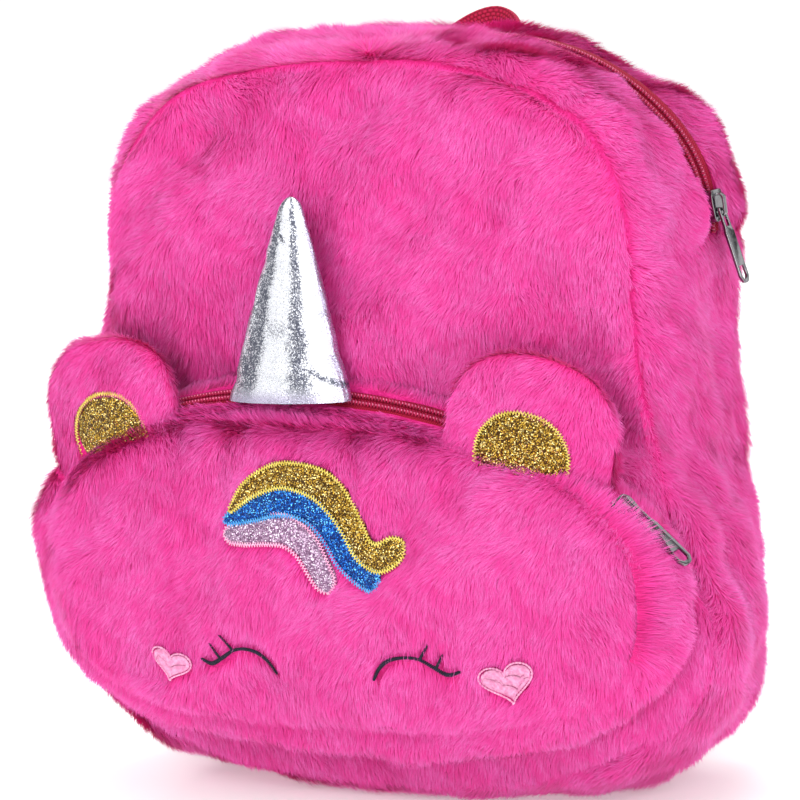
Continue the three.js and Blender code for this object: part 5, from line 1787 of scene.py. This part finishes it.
class Ears(BagBody):
    """Two stuffed ears with glitter patches."""

    form = EarForm()
    middles: dict[str, tuple[float, float, float]] = {"left": (-98.5, -68.5, 152), "right": (87, -68.5, 147)}

    def placed(self, points: Array, side: str, direction: bool = False) -> Array:
        """Turn an ear's points to their place on the bag."""
        sign = 1 if side == "left" else -1
        a, b = -sign * self.form.tilt, -sign * self.form.turn
        x = points[..., 0] * math.cos(a) + points[..., 2] * math.sin(a)
        z = -points[..., 0] * math.sin(a) + points[..., 2] * math.cos(a)
        y = points[..., 1]
        turned = np.stack([x * math.cos(b) - y * math.sin(b), x * math.sin(b) + y * math.cos(b), z], axis=-1)
        return turned if direction else turned + np.array(self.middles[side])

    def lobe(self, side: str, seed: int) -> None:
        """The plush lobe."""
        angle = np.linspace(0, 2 * math.pi, 84, endpoint=False)
        edge = self.form.outline(angle, False)
        shares = 1 - (1 - np.linspace(0, 1, 18)) ** 1.8
        rows, out = [], []
        for sign, order in ((-1, shares), (1, shares[::-1])):
            x, z = edge[None, :, 0] * order[:, None], edge[None, :, 1] * order[:, None]
            rows.append(np.stack([x, sign * self.form.swell(x, z), z], axis=-1))
            out.append(np.stack([0.1 * x, 0 * x + sign * 3, 0.1 * z], axis=-1))
        local = np.concatenate(rows)
        skin = Skin(self.placed(local, side), self.placed(np.concatenate(out), side, True), True)
        skin = Wrinkles.settle(skin, [], 0.35)
        skin.density = np.where(local[..., 2] < -24, 0.2, 1.3)
        skin.length = np.full_like(skin.density, 0.8)
        patch_sign = 1 if side == "left" else -1
        patch = self.form.outline(np.linspace(0, 2 * math.pi, 60, endpoint=False), True)
        patch = patch + [patch_sign * self.form.patch_x, self.form.patch_z]
        back = self.unplaced

        def keep(root: Array, tip: Array) -> tuple[Array, Array]:
            """Keep clear of the glitter patch."""
            spot, end = back(root, side), back(tip, side)
            bare = inside_outline(spot[:, [0, 2]], patch) & (spot[:, 1] < 0)
            over = inside_outline(end[:, [0, 2]], patch) & (end[:, 1] < 0)
            return ~bare, np.where(over, 0.4, 1.0)

        self.clothe(f"ear_{side}", skin, seed, [f"ear_{side}"], keep, fill=0.8)

    def unplaced(self, points: Array, side: str) -> Array:
        """Bring points on the bag back to the ear's own frame."""
        sign = 1 if side == "left" else -1
        a, b = -sign * self.form.tilt, -sign * self.form.turn
        x, y, z = np.moveaxis(points - np.array(self.middles[side]), -1, 0)
        u, v = x * math.cos(b) + y * math.sin(b), -x * math.sin(b) + y * math.cos(b)
        return np.stack([u * math.cos(a) - z * math.sin(a), v, u * math.sin(a) + z * math.cos(a)], axis=-1)

    def patch(self, side: str, glitter: Material, thread: Material) -> None:
        """The glitter patch with its satin border."""
        sign = 1 if side == "left" else -1
        angle = np.linspace(0, 2 * math.pi, 72, endpoint=False)
        edge = self.form.outline(angle, True) + [sign * self.form.patch_x, self.form.patch_z]
        middle = np.array([sign * self.form.patch_x, self.form.patch_z])
        shares = np.linspace(0, 1, 12)[:, None, None]
        flat = middle + (edge - middle) * shares
        lift = 1.9 - 1.2 * shares[..., 0] ** 8 + 0 * flat[..., 0]
        swell = self.form.swell(flat[..., 0], flat[..., 1])
        local = np.stack([flat[..., 0], -swell - lift, flat[..., 1]], axis=-1)
        skin = Skin(self.placed(local, side), self.placed(along_y(local, -1), side, True), True)
        self.attach(skin.build(f"ear_patch_{side}_glitter", glitter), "gold", f"ear_patch_{side}")
        fine = np.linspace(0, 2 * math.pi, 190, endpoint=False)
        rim = self.form.outline(fine, True) + [sign * self.form.patch_x, self.form.patch_z]
        rim = rim[rim[:, 1] > -24]
        way = unit(rim - middle)
        swell = self.form.swell(rim[:, 0], rim[:, 1])
        spots = np.stack([rim[:, 0], -swell - 1.7, rim[:, 1]], axis=-1)
        along = upright(way)
        mesh = Grains().mesh(f"ear_patch_{side}_border", self.placed(spots, side),
                             self.placed(along, side, True), self.placed(along_y(spots, -1), side, True),
                             1.15, 0.21, 0.4, slant=0.5)
        self.attach(new_object(f"ear_patch_{side}_border", mesh, thread), "gold")


class Grains:
    """Many small rounded grains in one mesh, for stitches and zip coils."""

    def __init__(self, sides: int = 5) -> None:
        """Keep the number of sides."""
        self.sides = sides

    def mesh(self, name: str, spots: Array, along: Array, out: Array, length: float | Array,
             width: float, height: float, slant: float = 0.0) -> Mesh:
        """Make the mesh.

        Args:
            name: The mesh's name.
            spots: Middle of each grain, in millimetres.
            along: Direction of each grain.
            out: Outward direction at each grain.
            length: Half length of a grain.
            width: Half width.
            height: Half height.
            slant: How far every second grain leans the other way.

        Returns:
            The mesh.
        """
        count = len(spots)
        out = unit(out)
        along = unit(along - out * (along * out).sum(axis=1, keepdims=True))
        side = np.cross(out, along)
        lean = slant * np.where(np.arange(count) % 2, 1.0, -1.0)[:, None]
        along, side = unit(along + lean * side), unit(side - lean * along)
        reach = (np.zeros(count) + length)[:, None]
        angle = np.linspace(0, 2 * math.pi, self.sides, endpoint=False)
        rings = [(-0.72, 0.72), (0.0, 1.0), (0.72, 0.72)]
        parts = [spots - along * reach]
        for place, size in rings:
            for turn in angle:
                wide, high = width * size * math.cos(turn), height * size * math.sin(turn)
                parts.append(spots + along * reach * place + side * wide + out * high)
        parts.append(spots + along * reach)
        points = np.stack(parts, axis=1)
        per, n = points.shape[1], self.sides
        faces = []
        for k in range(n):
            after = (k + 1) % n
            faces.append([0, 1 + after, 1 + k])
            for ring in range(len(rings) - 1):
                a, b = 1 + ring * n, 1 + (ring + 1) * n
                faces += [[a + k, a + after, b + after], [a + k, b + after, b + k]]
            last = 1 + (len(rings) - 1) * n
            faces.append([per - 1, last + k, last + after])
        faces = np.array(faces)[None] + (np.arange(count) * per)[:, None, None]
        return fast_mesh(name, points.reshape(-1, 3), faces.reshape(-1, 3))


@dataclass
class Horn(Part):
    """The stuffed foil horn, flattened from front to back."""

    finish: FoilFinish
    x: float = -15
    tip_x: float = -13.5
    y: float = -71.5
    tip_y: float = -62
    base_z: float = 161
    tip_z: float = 237
    half: float = 27
    half_depth: float = 9
    tip: float = 3.6
    taper: float = 0.93
    round_from: float = 0.94
    flat: float = 0.8
    creases: tuple = (
        (0.64, 0.035, -0.6, 0.10, -0.5), (0.2, 0.05, 0.7, 0.10, 0.6), (0.42, 0.03, 0.2, 0.05, 0.4),
        (0.08, 0.04, -0.5, 0.07, -0.3), (0.83, 0.03, 0.5, 0.06, 0.3),
    )

    def build(self) -> None:
        """Loft the horn with its creases."""
        share = (1 - (1 - np.linspace(0, 1, 84)) ** 1.2)[:, None]
        angle = np.linspace(0, 2 * math.pi, 72, endpoint=False)[None]
        least = self.tip / self.half
        narrow = least + (1 - least) * (1 - share) ** self.taper
        beyond = np.maximum(0, (share - self.round_from) / (1 - self.round_from))
        rounding = np.sqrt(np.maximum(0, 1 - beyond ** 2))
        crease = 0 * share * angle
        for height, reach, side, depth, lean in self.creases:
            facing = np.maximum(0, np.cos(angle) * np.sign(side) * 0.6 + np.sin(angle) * 0.5 + 0.2)
            away = (share - height - lean * 0.08 * np.cos(angle)) / reach
            crease = crease + 0.6 * depth * bump(away) * facing
        size = narrow * rounding - crease * narrow
        wide = 60 * narrow
        spot = np.stack([share * 80 + 0 * angle, wide * np.cos(angle), wide * np.sin(angle)], axis=-1)
        size = size * (1 + 0.007 * SoftNoise(41, 14)(spot) + 0.003 * SoftNoise(42, 5)(spot))
        x = self.x + (self.tip_x - self.x) * share + self.half * size * np.cos(angle)
        y = self.y + (self.tip_y - self.y) * share
        y = y - self.half_depth * np.maximum(size, 0) ** self.flat * np.sin(angle)
        z = self.base_z + (self.tip_z - self.base_z) * share + 0 * angle
        points = np.stack([x, y, z], axis=-1)
        outwards = points - points.mean(axis=1, keepdims=True)
        chart = np.stack([np.cos(angle) + 0 * share, share + 0 * angle], axis=-1)
        piece = Skin(points, outwards, True).build("horn_foil", self.finish.material(), chart)
        self.attach(piece, "foil", "horn")


@dataclass
class Trim(Part):
    """Glitter mane, embroidered eyes and hearts on the face."""

    gold: Material
    blue: Material
    pink: Material
    gold_thread: Material
    blue_thread: Material
    pink_thread: Material
    navy: Material
    satin: Material
    rise: Callable[[Array], Array]
    stand: float = 2.5

    def on_face(self, flat: Array, offset: float | Array) -> Array:
        """Points of the face over X and Z places."""
        return FORM.face_at(flat[..., 0], flat[..., 1], offset + self.rise(flat))

    @staticmethod
    def marks(outline: Array, step: float) -> tuple[Array, Array]:
        """Even places round a closed outline, and the way along it at each."""
        closed = np.concatenate([outline, outline[:1]])
        run = run_along(closed)
        marks = np.arange(0, run[-1], step)
        spots = np.stack([np.interp(marks, run, closed[:, k]) for k in (0, 1)], axis=-1)
        return spots, unit(np.roll(spots, -1, axis=0) - np.roll(spots, 1, axis=0))

    def band(self, name: str, slot: str, layer: float, glitter: Material,
             thread: Material) -> None:
        """One glitter band with its satin border.

        Args:
            name: Name of its solid.
            slot: Its material slot.
            layer: How far it stands above the cloth.
            glitter: Material of the band.
            thread: Material of its border.
        """
        middle, side, half = Patchwork.band(Patchwork.mane[name], 130)
        across = np.linspace(-1, 1, 11)
        flat = middle[:, None] + side[:, None] * (half[:, None] * across)[..., None]
        lift = layer + 0.7 * (1 - across**2)[None] - 1.4 * (np.abs(across) > 0.99)[None]
        points = self.on_face(flat, lift + 0 * flat[..., 0])
        skin = Skin(points, along_y(points, -1))
        self.attach(skin.build(f"{name}_glitter", glitter), slot, name)
        outline = Patchwork.band_outline(Patchwork.mane[name], 130, -0.3)
        spots, way = self.marks(outline, 0.62)
        across = upright(np.stack([-way[:, 1], way[:, 0]], axis=-1))
        mesh = Grains().mesh(f"{name}_border", self.on_face(spots, layer + 0.3), across,
                             along_y(across, -1), 1.2, 0.21, 0.4, slant=0.5)
        self.attach(new_object(f"{name}_border", mesh, thread), slot)

    def mane(self) -> None:
        """The three bands, the gold one on top."""
        self.band("mane_pink", "pink", self.stand - 0.8, self.pink, self.pink_thread)
        self.band("mane_blue", "blue", self.stand - 0.4, self.blue, self.blue_thread)
        self.band("mane_gold", "gold", self.stand, self.gold, self.gold_thread)

    def strokes(self, rows: tuple, steps: int) -> tuple[Array, Array, Array]:
        """Satin stitches across one stroke: middles, directions and half lengths."""
        length = np.linalg.norm(np.diff(Patchwork.band(rows, 60)[0], axis=0), axis=1).sum()
        return Patchwork.band(rows, max(steps, round(length / 0.36)))

    def eyes(self) -> None:
        """Closed eyes with lashes in satin stitch."""
        for name, sign in (("eye_left", -1), ("eye_right", 1)):
            found = [self.strokes(Patchwork.mirrored(Patchwork.eye, sign), 60)]
            found += [self.strokes(Patchwork.mirrored(lash, sign), 12) for lash in Patchwork.lashes]
            middle, side, half = (np.concatenate([row[k] for row in found]) for k in range(3))
            spots = self.on_face(middle, self.stand - 0.2)
            mesh = Grains().mesh(f"{name}_stitches", spots, upright(side), along_y(spots, -1),
                                 0.75 * half + 0.12, 0.24, 0.5, slant=0.12)
            self.attach(new_object(f"{name}_stitches", mesh, self.navy), "thread", name)

    def hearts(self) -> None:
        """Satin hearts with an outline stitch."""
        for name in Patchwork.hearts:
            outline = Patchwork.heart(name, -1.0)
            centre = outline.mean(axis=0)
            turn = math.radians(68)
            axis = np.array([math.cos(turn), math.sin(turn)])
            cross = np.array([-math.sin(turn), math.cos(turn)])
            reach = (outline - centre) @ cross
            spots, half = [], []
            for level in np.arange(reach.min() + 0.3, reach.max(), 0.46):
                a, b = reach - level, np.roll(reach, -1) - level
                hit = (a > 0) != (b > 0)
                share = a[hit] / (a[hit] - b[hit])
                ends = outline[hit] + (np.roll(outline, -1, axis=0) - outline)[hit] * share[:, None]
                cuts = np.sort((ends - centre) @ axis)
                for low, high in zip(cuts[::2], cuts[1::2]):
                    pieces = max(1, math.ceil((high - low) / 5))
                    for k in range(pieces):
                        start = low + (high - low) * k / pieces
                        stop = low + (high - low) * (k + 1) / pieces
                        spots.append(centre + axis * (start + stop) / 2 + cross * level)
                        half.append((stop - start) / 2 + 0.25)
            flat = np.array(spots)
            way = np.zeros((len(flat), 3)) + [axis[0], 0, axis[1]]
            mesh = Grains().mesh(f"{name}_satin", self.on_face(flat, self.stand - 0.4), way,
                                 along_y(way, -1), np.array(half), 0.3, 0.5)
            self.attach(new_object(f"{name}_satin", mesh, self.satin), "satin", name)
            spots, way = self.marks(Patchwork.heart(name, 0.6), 1.3)
            way = upright(way)
            mesh = Grains().mesh(f"{name}_outline", self.on_face(spots, self.stand), way,
                                 along_y(way, -1), 0.8, 0.42, 0.5)
            self.attach(new_object(f"{name}_outline", mesh, self.satin), "satin")


class ZipKind(Enum):
    """The bag's two zips."""

    MAIN = "main_zip"
    POCKET = "pocket_zip"


@dataclass
class Zip(Part):
    """One zip: its tape, its two rows of coil, its slider and its pull."""

    kind: ZipKind
    tape: Material
    coil: Material
    dots: Material
    metal: Material
    pitch: float = 1.4
    half_gap: float = 1.65

    def point(self, along: Array, across: Array, offset: float | Array) -> Array:
        """Point of the tape.

        Args:
            along: Places along the zip, in its own count.
            across: Distance from its middle, towards the wearer.
            offset: Height over the cloth.

        Returns:
            The points.
        """
        if self.kind is ZipKind.MAIN:
            return FORM.gusset(along, FORM.zip_y + FORM.bow(along) + across, offset + 0.32 * across)
        middle = FORM.wall + FORM.gap + FORM.pocket_tape / 2
        return FORM.pocket(along, middle + across, offset + 0 * along)

    def run(self, step: float) -> Array:
        """Even places along the zip."""
        if self.kind is ZipKind.MAIN:
            start, end = FORM.zip_end + 0.01, 6 - FORM.zip_end - 0.01
        else:
            start, end = FORM.zip_from, FORM.zip_to
        fine = np.linspace(start, end, 4000)
        points = self.point(fine, 0 * fine, 0.0)
        total = run_along(points)
        return np.interp(np.arange(0, total[-1], step), total, fine)

    def build(self) -> None:
        """Build the tape and coils and dress the metal."""
        name = self.kind.value
        width = FORM.tape_width if self.kind is ZipKind.MAIN else FORM.pocket_tape
        along = self.run(2.2)
        across = np.linspace(-width / 2 - 2.4, width / 2 + 2.4, 15)
        place = np.broadcast_to(along[:, None], (len(along), 15))
        tuck = 1.6 * smoothstep(np.abs(across), width / 2 - 0.5, width / 2 + 2)
        sag = -FORM.recess - (0.5 * (np.abs(across) < 0.6) + tuck)[None] + 0 * place
        points = self.point(place, across[None] + 0 * place, sag)
        hint = self.point(place, across[None] + 0 * place, sag + 2) - points
        skin = Skin(points, hint)
        mesh = fast_mesh(f"{name}_tape_cloth", points.reshape(-1, 3), skin.faces(), uv=np.stack([
            (across[None] + 0 * place).ravel(), (np.arange(len(along))[:, None] * 2.2 + 0 * place).ravel(),
        ], axis=-1), uv_name=CLOTH_MAP)
        self.attach(new_object(f"{name}_tape_cloth", mesh, self.tape), "webbing", f"{name}_tape")
        beads = self.run(self.pitch)
        after = self.run(self.pitch / 2)[: 2 * len(beads)]
        for part, spots, size, material in (
            ("coil", beads, (1.4, 0.62, 0.8), self.coil), ("dots", after[1::2], (0.36, 0.28, 0.8), self.dots),
        ):
            rows, ways, outs = [], [], []
            for sign in (-1, 1):
                shift = np.full_like(spots, sign * self.half_gap)
                centre = self.point(spots, shift, 0.55 - FORM.recess + (0.1 if part == "dots" else 0.0))
                rows.append(centre)
                ways.append(self.point(spots, shift + 0.5, 0.0) - self.point(spots, shift - 0.5, 0.0))
                outs.append(self.point(spots, shift, 1.0) - self.point(spots, shift, 0.0))
            sides = 5 if part == "coil" else 4
            mesh = Grains(sides).mesh(f"{name}_{part}_row", np.concatenate(rows), np.concatenate(ways),
                                      np.concatenate(outs), *size)
            replaced = [f"{name}_coil"] if part == "coil" else []
            self.attach(new_object(f"{name}_{part}_row", mesh, material), "coil", *replaced)
        self.dress(f"{name}_slider", BAG)
        self.dress(f"{name}_pull", "main_pull" if self.kind is ZipKind.MAIN else "pocket_pull")

    def dress(self, node: str, body: str) -> None:
        """Show a metal solid with rounded edges."""
        mesh = rounded_solid(node, f"{node}_metal", 0.0003, 0.6, True)
        self.attach(new_object(mesh.name, mesh, self.metal), "metal", node, body=body)


@dataclass
class Straps(Part):
    """Grab handle, shoulder straps and their adjusters."""

    webbing: Material
    thread: Material
    plastic: Material
    wall: float = 2.0
    handle_width: float = 18.0
    strap_width: float = 25.0

    def behind(self, x: Array, z: Array, clearance: float) -> Array:
        """Points behind the back panel."""
        share = FORM.share_at(FORM.back, np.asarray(x, float), np.asarray(z, float))
        return np.stack([x + 0 * share, FORM.back_y(share) + clearance, z + 0 * share], axis=-1)

    def handle_rows(self) -> tuple[Array, Array]:
        """Middle line and width directions of the grab handle."""
        turn, x, span, foot_z, length = math.radians(45), 3.0, 22.0, 262.0, 12.0
        side, rise, seat = math.sin(turn), math.cos(turn), 1.6 + 1.2
        rows, ways = [], []
        for sign, order in ((-1, 1), (1, -1)):
            leg = [
                self.behind(x + sign * span, foot_z, seat),
                self.behind(x + sign * (span - length * side), foot_z + length * rise, seat),
                np.array([x + sign * 12.0, 61.0, 281.0]),
            ]
            way = [np.array([sign * rise, 0, side])] * 2 + [np.array([sign * 0.25, 0.2, 0.95])]
            rows += leg[::order]
            ways += way[::order]
        rows.insert(3, np.array([x, 68.0, 287.5]))
        ways.insert(3, np.array([0, 0.35, 0.94]))
        return np.array(rows), np.array(ways)

    def strap_rows(self, sign: int) -> tuple[Array, Array]:
        """Middle line and width directions of a shoulder strap."""
        high_x, high_z, low_x, low_z, bow, end = 34.0, 250.0, 86.0, 40.0, 92.0, 14.0
        tail = end / (high_z - low_z)
        rows = []
        for share, part in ((0, 0), (tail, 0), (0.22, 0.72), (0.5, 1), (0.76, 0.7), (1 - tail, 0), (1, 0)):
            x = sign * (high_x + (low_x - high_x) * share**1.5)
            z = high_z + (low_z - high_z) * share
            free = np.array([x, FORM.half + (bow - FORM.half) * part, z])
            rows.append(self.behind(x, z, 2.8) if part == 0 else free)
        return np.array(rows), np.zeros((7, 3)) + [1, 0, 0]

    def pressed(self, points: Array) -> Array:
        """Tell which points of the back lie under a strap's or the handle's end."""
        under = np.zeros(len(points), bool)
        bands = [(self.handle_rows()[0], self.handle_width)]
        bands += [(self.strap_rows(sign)[0], self.strap_width) for sign in (-1, 1)]
        for rows, width in bands:
            for ends in (rows[:2], rows[-2:]):
                flat = ends[:, [0, 2]]
                under |= outline_distance(points[:, [0, 2]], flat, closed=False) < width / 2 - 1
        return under

    def band(self, name: str, rows: tuple[Array, Array], width: float, steps: int, node: str) -> None:
        """Sweep a rounded band of webbing.

        Args:
            name: The piece's name.
            rows: Its middle line and width directions.
            width: Its width.
            steps: Steps along it.
            node: The solid that it replaces.
        """
        shares = np.linspace(0, 1, steps)
        middle = Smooth(rows[0]).at(shares)
        along = unit(np.gradient(middle, axis=0))
        across = Smooth(rows[1]).at(shares)
        across = unit(across - along * (across * along).sum(axis=1, keepdims=True))
        out = np.cross(along, across)
        half, thick = width / 2, self.wall / 2
        turn = np.linspace(0, 2 * math.pi, 40, endpoint=False)
        wide = half * np.clip(1.04 * signed_power(np.cos(turn), 0.35), -1, 1)
        high = thick * signed_power(np.sin(turn), 0.55) * (1 + 0.12 * (np.abs(wide) > half - 2))
        run = run_along(middle)
        fray = 0.25 * SoftNoise(51, 25)(middle)[:, None]
        points = middle[:, None] + across[:, None] * (wide + fray)[..., None]
        points = points + out[:, None] * high[None, :, None]
        skin = Skin(points, points - middle[:, None], True)
        uv = np.stack([np.broadcast_to(wide, points.shape[:2]).ravel(),
                       np.broadcast_to(run[:, None], points.shape[:2]).ravel()], axis=-1)
        mesh = fast_mesh(name, points.reshape(-1, 3), skin.faces(), uv=uv, uv_name=CLOTH_MAP)
        self.attach(new_object(name, mesh, self.webbing), "webbing", node)
        self.box_stitches(f"{name}_stitches", middle, across, out, run, width)

    def box_stitches(self, name: str, middle: Array, across: Array, out: Array, run: Array,
                     width: float) -> None:
        """Sew both ends down with a box and a cross of stitches.

        Args:
            name: The piece's name.
            middle: Middle line of the band.
            across: Its width directions.
            out: Its thickness directions.
            run: Length along the band at each point.
            width: The band's width.
        """
        spots, ways, outs = [], [], []
        half = width / 2 - 2
        for low, high in ((1.5, 11.5), (run[-1] - 11.5, run[-1] - 1.5)):
            corners = np.array([(low, -half), (high, -half), (high, half), (low, half), (low, -half),
                                (high, half), (high, -half), (low, half)])
            for a, b in zip(corners[:-1], corners[1:]):
                for share in np.arange(0.06, 1, 2.4 / np.linalg.norm(b - a)):
                    at = a + (b - a) * share
                    base = np.array([np.interp(at[0], run, middle[:, k]) for k in range(3)])
                    wide = np.array([np.interp(at[0], run, across[:, k]) for k in range(3)])
                    face = np.array([np.interp(at[0], run, out[:, k]) for k in range(3)])
                    face = face if face[1] > 0 else -face
                    spots.append(base + wide * at[1] + face * (self.wall / 2 + 0.15))
                    forward = np.cross(face, wide)
                    ways.append(forward * (b - a)[0] + wide * (b - a)[1])
                    outs.append(face)
        mesh = Grains(5).mesh(name, np.array(spots), np.array(ways), np.array(outs), 0.95, 0.24, 0.24)
        self.attach(new_object(name, mesh, self.thread), "webbing")

    def build(self) -> None:
        """Build every band and round the adjusters."""
        self.band("grab_handle_webbing", self.handle_rows(), self.handle_width, 80, "grab_handle")
        for side, sign in (("left", -1), ("right", 1)):
            self.band(f"shoulder_strap_{side}_webbing", self.strap_rows(sign), self.strap_width, 100,
                      f"shoulder_strap_{side}")
            node = f"strap_adjuster_{side}"
            mesh = rounded_solid(node, f"{node}_moulding", 0.0005, 0.5, False)
            self.attach(new_object(mesh.name, mesh, self.plastic), "plastic", node)


@dataclass
class Studio:
    """Camera, lights, world and floor."""

    yaw: float = math.radians(32.4)
    elevation: float = math.radians(8.7)
    roll: float = math.radians(4.6)
    distance: float = 1.6
    focal: float = 2.594
    aim: tuple[float, float, float] = (0.0, -0.020, 0.150)
    middle: tuple[float, float] = (398.0, 406.0)
    picture: float = 800.0

    def camera(self) -> None:
        """Place the camera at the photograph's angle."""
        a, e, r = self.yaw, self.elevation, self.roll
        back = Vector((math.sin(a) * math.cos(e), -math.cos(a) * math.cos(e), math.sin(e)))
        right = Vector((math.cos(a), math.sin(a), 0))
        up = back.cross(right)
        level, upright = math.cos(r) * right - math.sin(r) * up, math.sin(r) * right + math.cos(r) * up
        data = bpy.data.cameras.new("camera")
        data.sensor_width = 36
        data.lens = self.focal * self.distance / MM / self.picture * 36
        data.shift_x = (self.picture / 2 - self.middle[0]) / self.picture
        data.shift_y = (self.middle[1] - self.picture / 2) / self.picture
        data.clip_start, data.clip_end = 0.05, 60
        camera = bpy.data.objects.new("camera", data)
        bpy.context.scene.collection.objects.link(camera)
        matrix = Matrix((level, upright, back)).transposed().to_4x4()
        matrix.translation = Vector(self.aim) + back * self.distance
        camera.matrix_world = matrix
        bpy.context.scene.camera = camera

    def lamp(self, name: str, place: Sequence[float], size: float, power: float) -> None:
        """Add a soft lamp that faces the bag."""
        data = bpy.data.lights.new(name, "AREA")
        data.shape, data.size, data.energy = "DISK", size, power
        lamp = bpy.data.objects.new(name, data)
        bpy.context.scene.collection.objects.link(lamp)
        lamp.location = place
        way = Vector(place) - Vector((0, 0, 0.14))
        lamp.rotation_euler = way.to_track_quat("Z", "Y").to_euler()

    def build(self) -> None:
        """Build the studio."""
        self.camera()
        self.lamp("key lamp", (-0.6, -1.9, 1.7), 1.1, 14)
        self.lamp("fill lamp", (2.0, -1.1, 1.0), 1.3, 14)
        self.lamp("top lamp", (0.2, 0.1, 2.1), 1.2, 13)
        self.lamp("rim lamp", (-1.6, 1.4, 1.1), 0.9, 8)
        self.lamp("low lamp", (0.3, -1.7, 0.3), 1.0, 7)
        mesh = fast_mesh("floor", np.array([[-2, -2, 0], [2, -2, 0], [2, 2, 0], [-2, 2, 0]], float) * 9000,
                         np.array([[0, 1, 2, 3]]))
        new_object("floor", mesh, FloorFinish().material())
        world = bpy.data.worlds.new("studio")
        bpy.context.scene.world = world
        world.use_nodes = True
        nodes = Nodes(world.node_tree)
        sky = world.node_tree.nodes["Background"]
        sight = nodes.add("ShaderNodeLightPath").outputs
        way = nodes.add("ShaderNodeTexCoord").outputs["Generated"]
        screens = nodes.spread(nodes.noise(way, 2.4, 1.0), 0.44, 0.56, 0.06, 1.35)
        lit = nodes.blend(sight["Is Glossy Ray"], 0.79, screens)
        nodes.feed(sky.inputs["Strength"], nodes.blend(sight["Is Camera Ray"], lit, 1.0))
        sky.inputs["Color"].default_value = (1, 1, 1, 1)
        bpy.context.scene.view_settings.view_transform = "Standard"


def main() -> None:
    """Build the bag piece by piece."""
    logging.basicConfig(level=logging.INFO, format="%(message)s")
    Studio().build()
    pile_material, ground = PileFinish().material(), ShadedGroundFinish().material()
    pile = Pile(PileCut(), pile_material)
    tape = WovenFinish(
        "crimson tape", (0.18, 0.001, 0.015, 1), (0.50, 0.006, 0.05, 1), 0.7, 0.9, 0.0002,
    ).material()
    webbing = WovenFinish(
        "crimson webbing", (0.20, 0.002, 0.02, 1), (0.60, 0.012, 0.075, 1), 1.6, 1.3,
    ).material()
    coil = ThreadFinish("zip coil", (0.26, 0.002, 0.03, 1), (0.46, 0.005, 0.07, 1), 0.42).material()
    dots = ThreadFinish("coil stitching", (0.82, 0.10, 0.32, 1), (0.95, 0.34, 0.56, 1), 0.5).material()
    metal = MetalFinish("dark nickel", (0.20, 0.195, 0.21, 1), (0.28, 0.275, 0.29, 1), 0.10, 0.17).material()
    plastic = ThreadFinish(
        "moulded adjuster", (0.20, 0.003, 0.03, 1), (0.28, 0.006, 0.045, 1), 0.4, 300,
    ).material()
    red_thread = ThreadFinish("red sewing thread", (0.30, 0.004, 0.03, 1), (0.5, 0.01, 0.06, 1)).material()
    gold = GlitterFinish(
        "gold glitter", (0.07, 0.03, 0.003, 1), (0.54, 0.32, 0.03, 1), (0.98, 0.82, 0.34, 1),
    ).material()
    gold_thread = ThreadFinish("gold thread", (0.62, 0.48, 0.05, 1), (0.95, 0.82, 0.22, 1), 0.35).material()

    log.info("back and straps")
    straps = Straps(webbing, red_thread, plastic)
    straps.build()
    log.info("main bag")
    body = BagBody(pile, ground)
    body.front()
    body.back(straps)
    body.gussets()
    log.info("face pocket")
    pocket = FacePocket(pile, ground)
    pocket.face()
    pocket.sides()
    pocket.tuft()
    log.info("ears")
    ears = Ears(pile, ground)
    for side, seed in (("left", 121), ("right", 122)):
        ears.lobe(side, seed)
        ears.patch(side, gold, gold_thread)
    log.info("horn")
    Horn(FoilFinish()).build()
    log.info("trim")
    trim = Trim(
        gold=gold,
        blue=GlitterFinish(
            "blue glitter", (0.002, 0.02, 0.15, 1), (0.006, 0.15, 0.62, 1), (0.15, 0.58, 0.98, 1),
        ).material(),
        pink=GlitterFinish(
            "pink glitter", (0.22, 0.11, 0.21, 1), (0.58, 0.40, 0.56, 1), (0.95, 0.86, 0.97, 1), 0.0005, 0.5,
        ).material(),
        gold_thread=gold_thread,
        blue_thread=ThreadFinish(
            "blue thread", (0.03, 0.26, 0.66, 1), (0.14, 0.50, 0.92, 1), 0.35,
        ).material(),
        pink_thread=ThreadFinish("pink thread", (0.84, 0.35, 0.58, 1), (1.0, 0.58, 0.76, 1), 0.4).material(),
        navy=ThreadFinish("navy thread", (0.003, 0.003, 0.012, 1), (0.012, 0.010, 0.035, 1), 0.35).material(),
        satin=ThreadFinish("pale pink satin", (0.74, 0.25, 0.46, 1), (0.90, 0.44, 0.66, 1), 0.45).material(),
        rise=pocket.rise,
    )
    trim.mane()
    trim.eyes()
    trim.hearts()
    log.info("zips")
    for kind in ZipKind:
        Zip(kind, tape, coil, dots, metal).build()


if __name__ == "__main__":
    main()
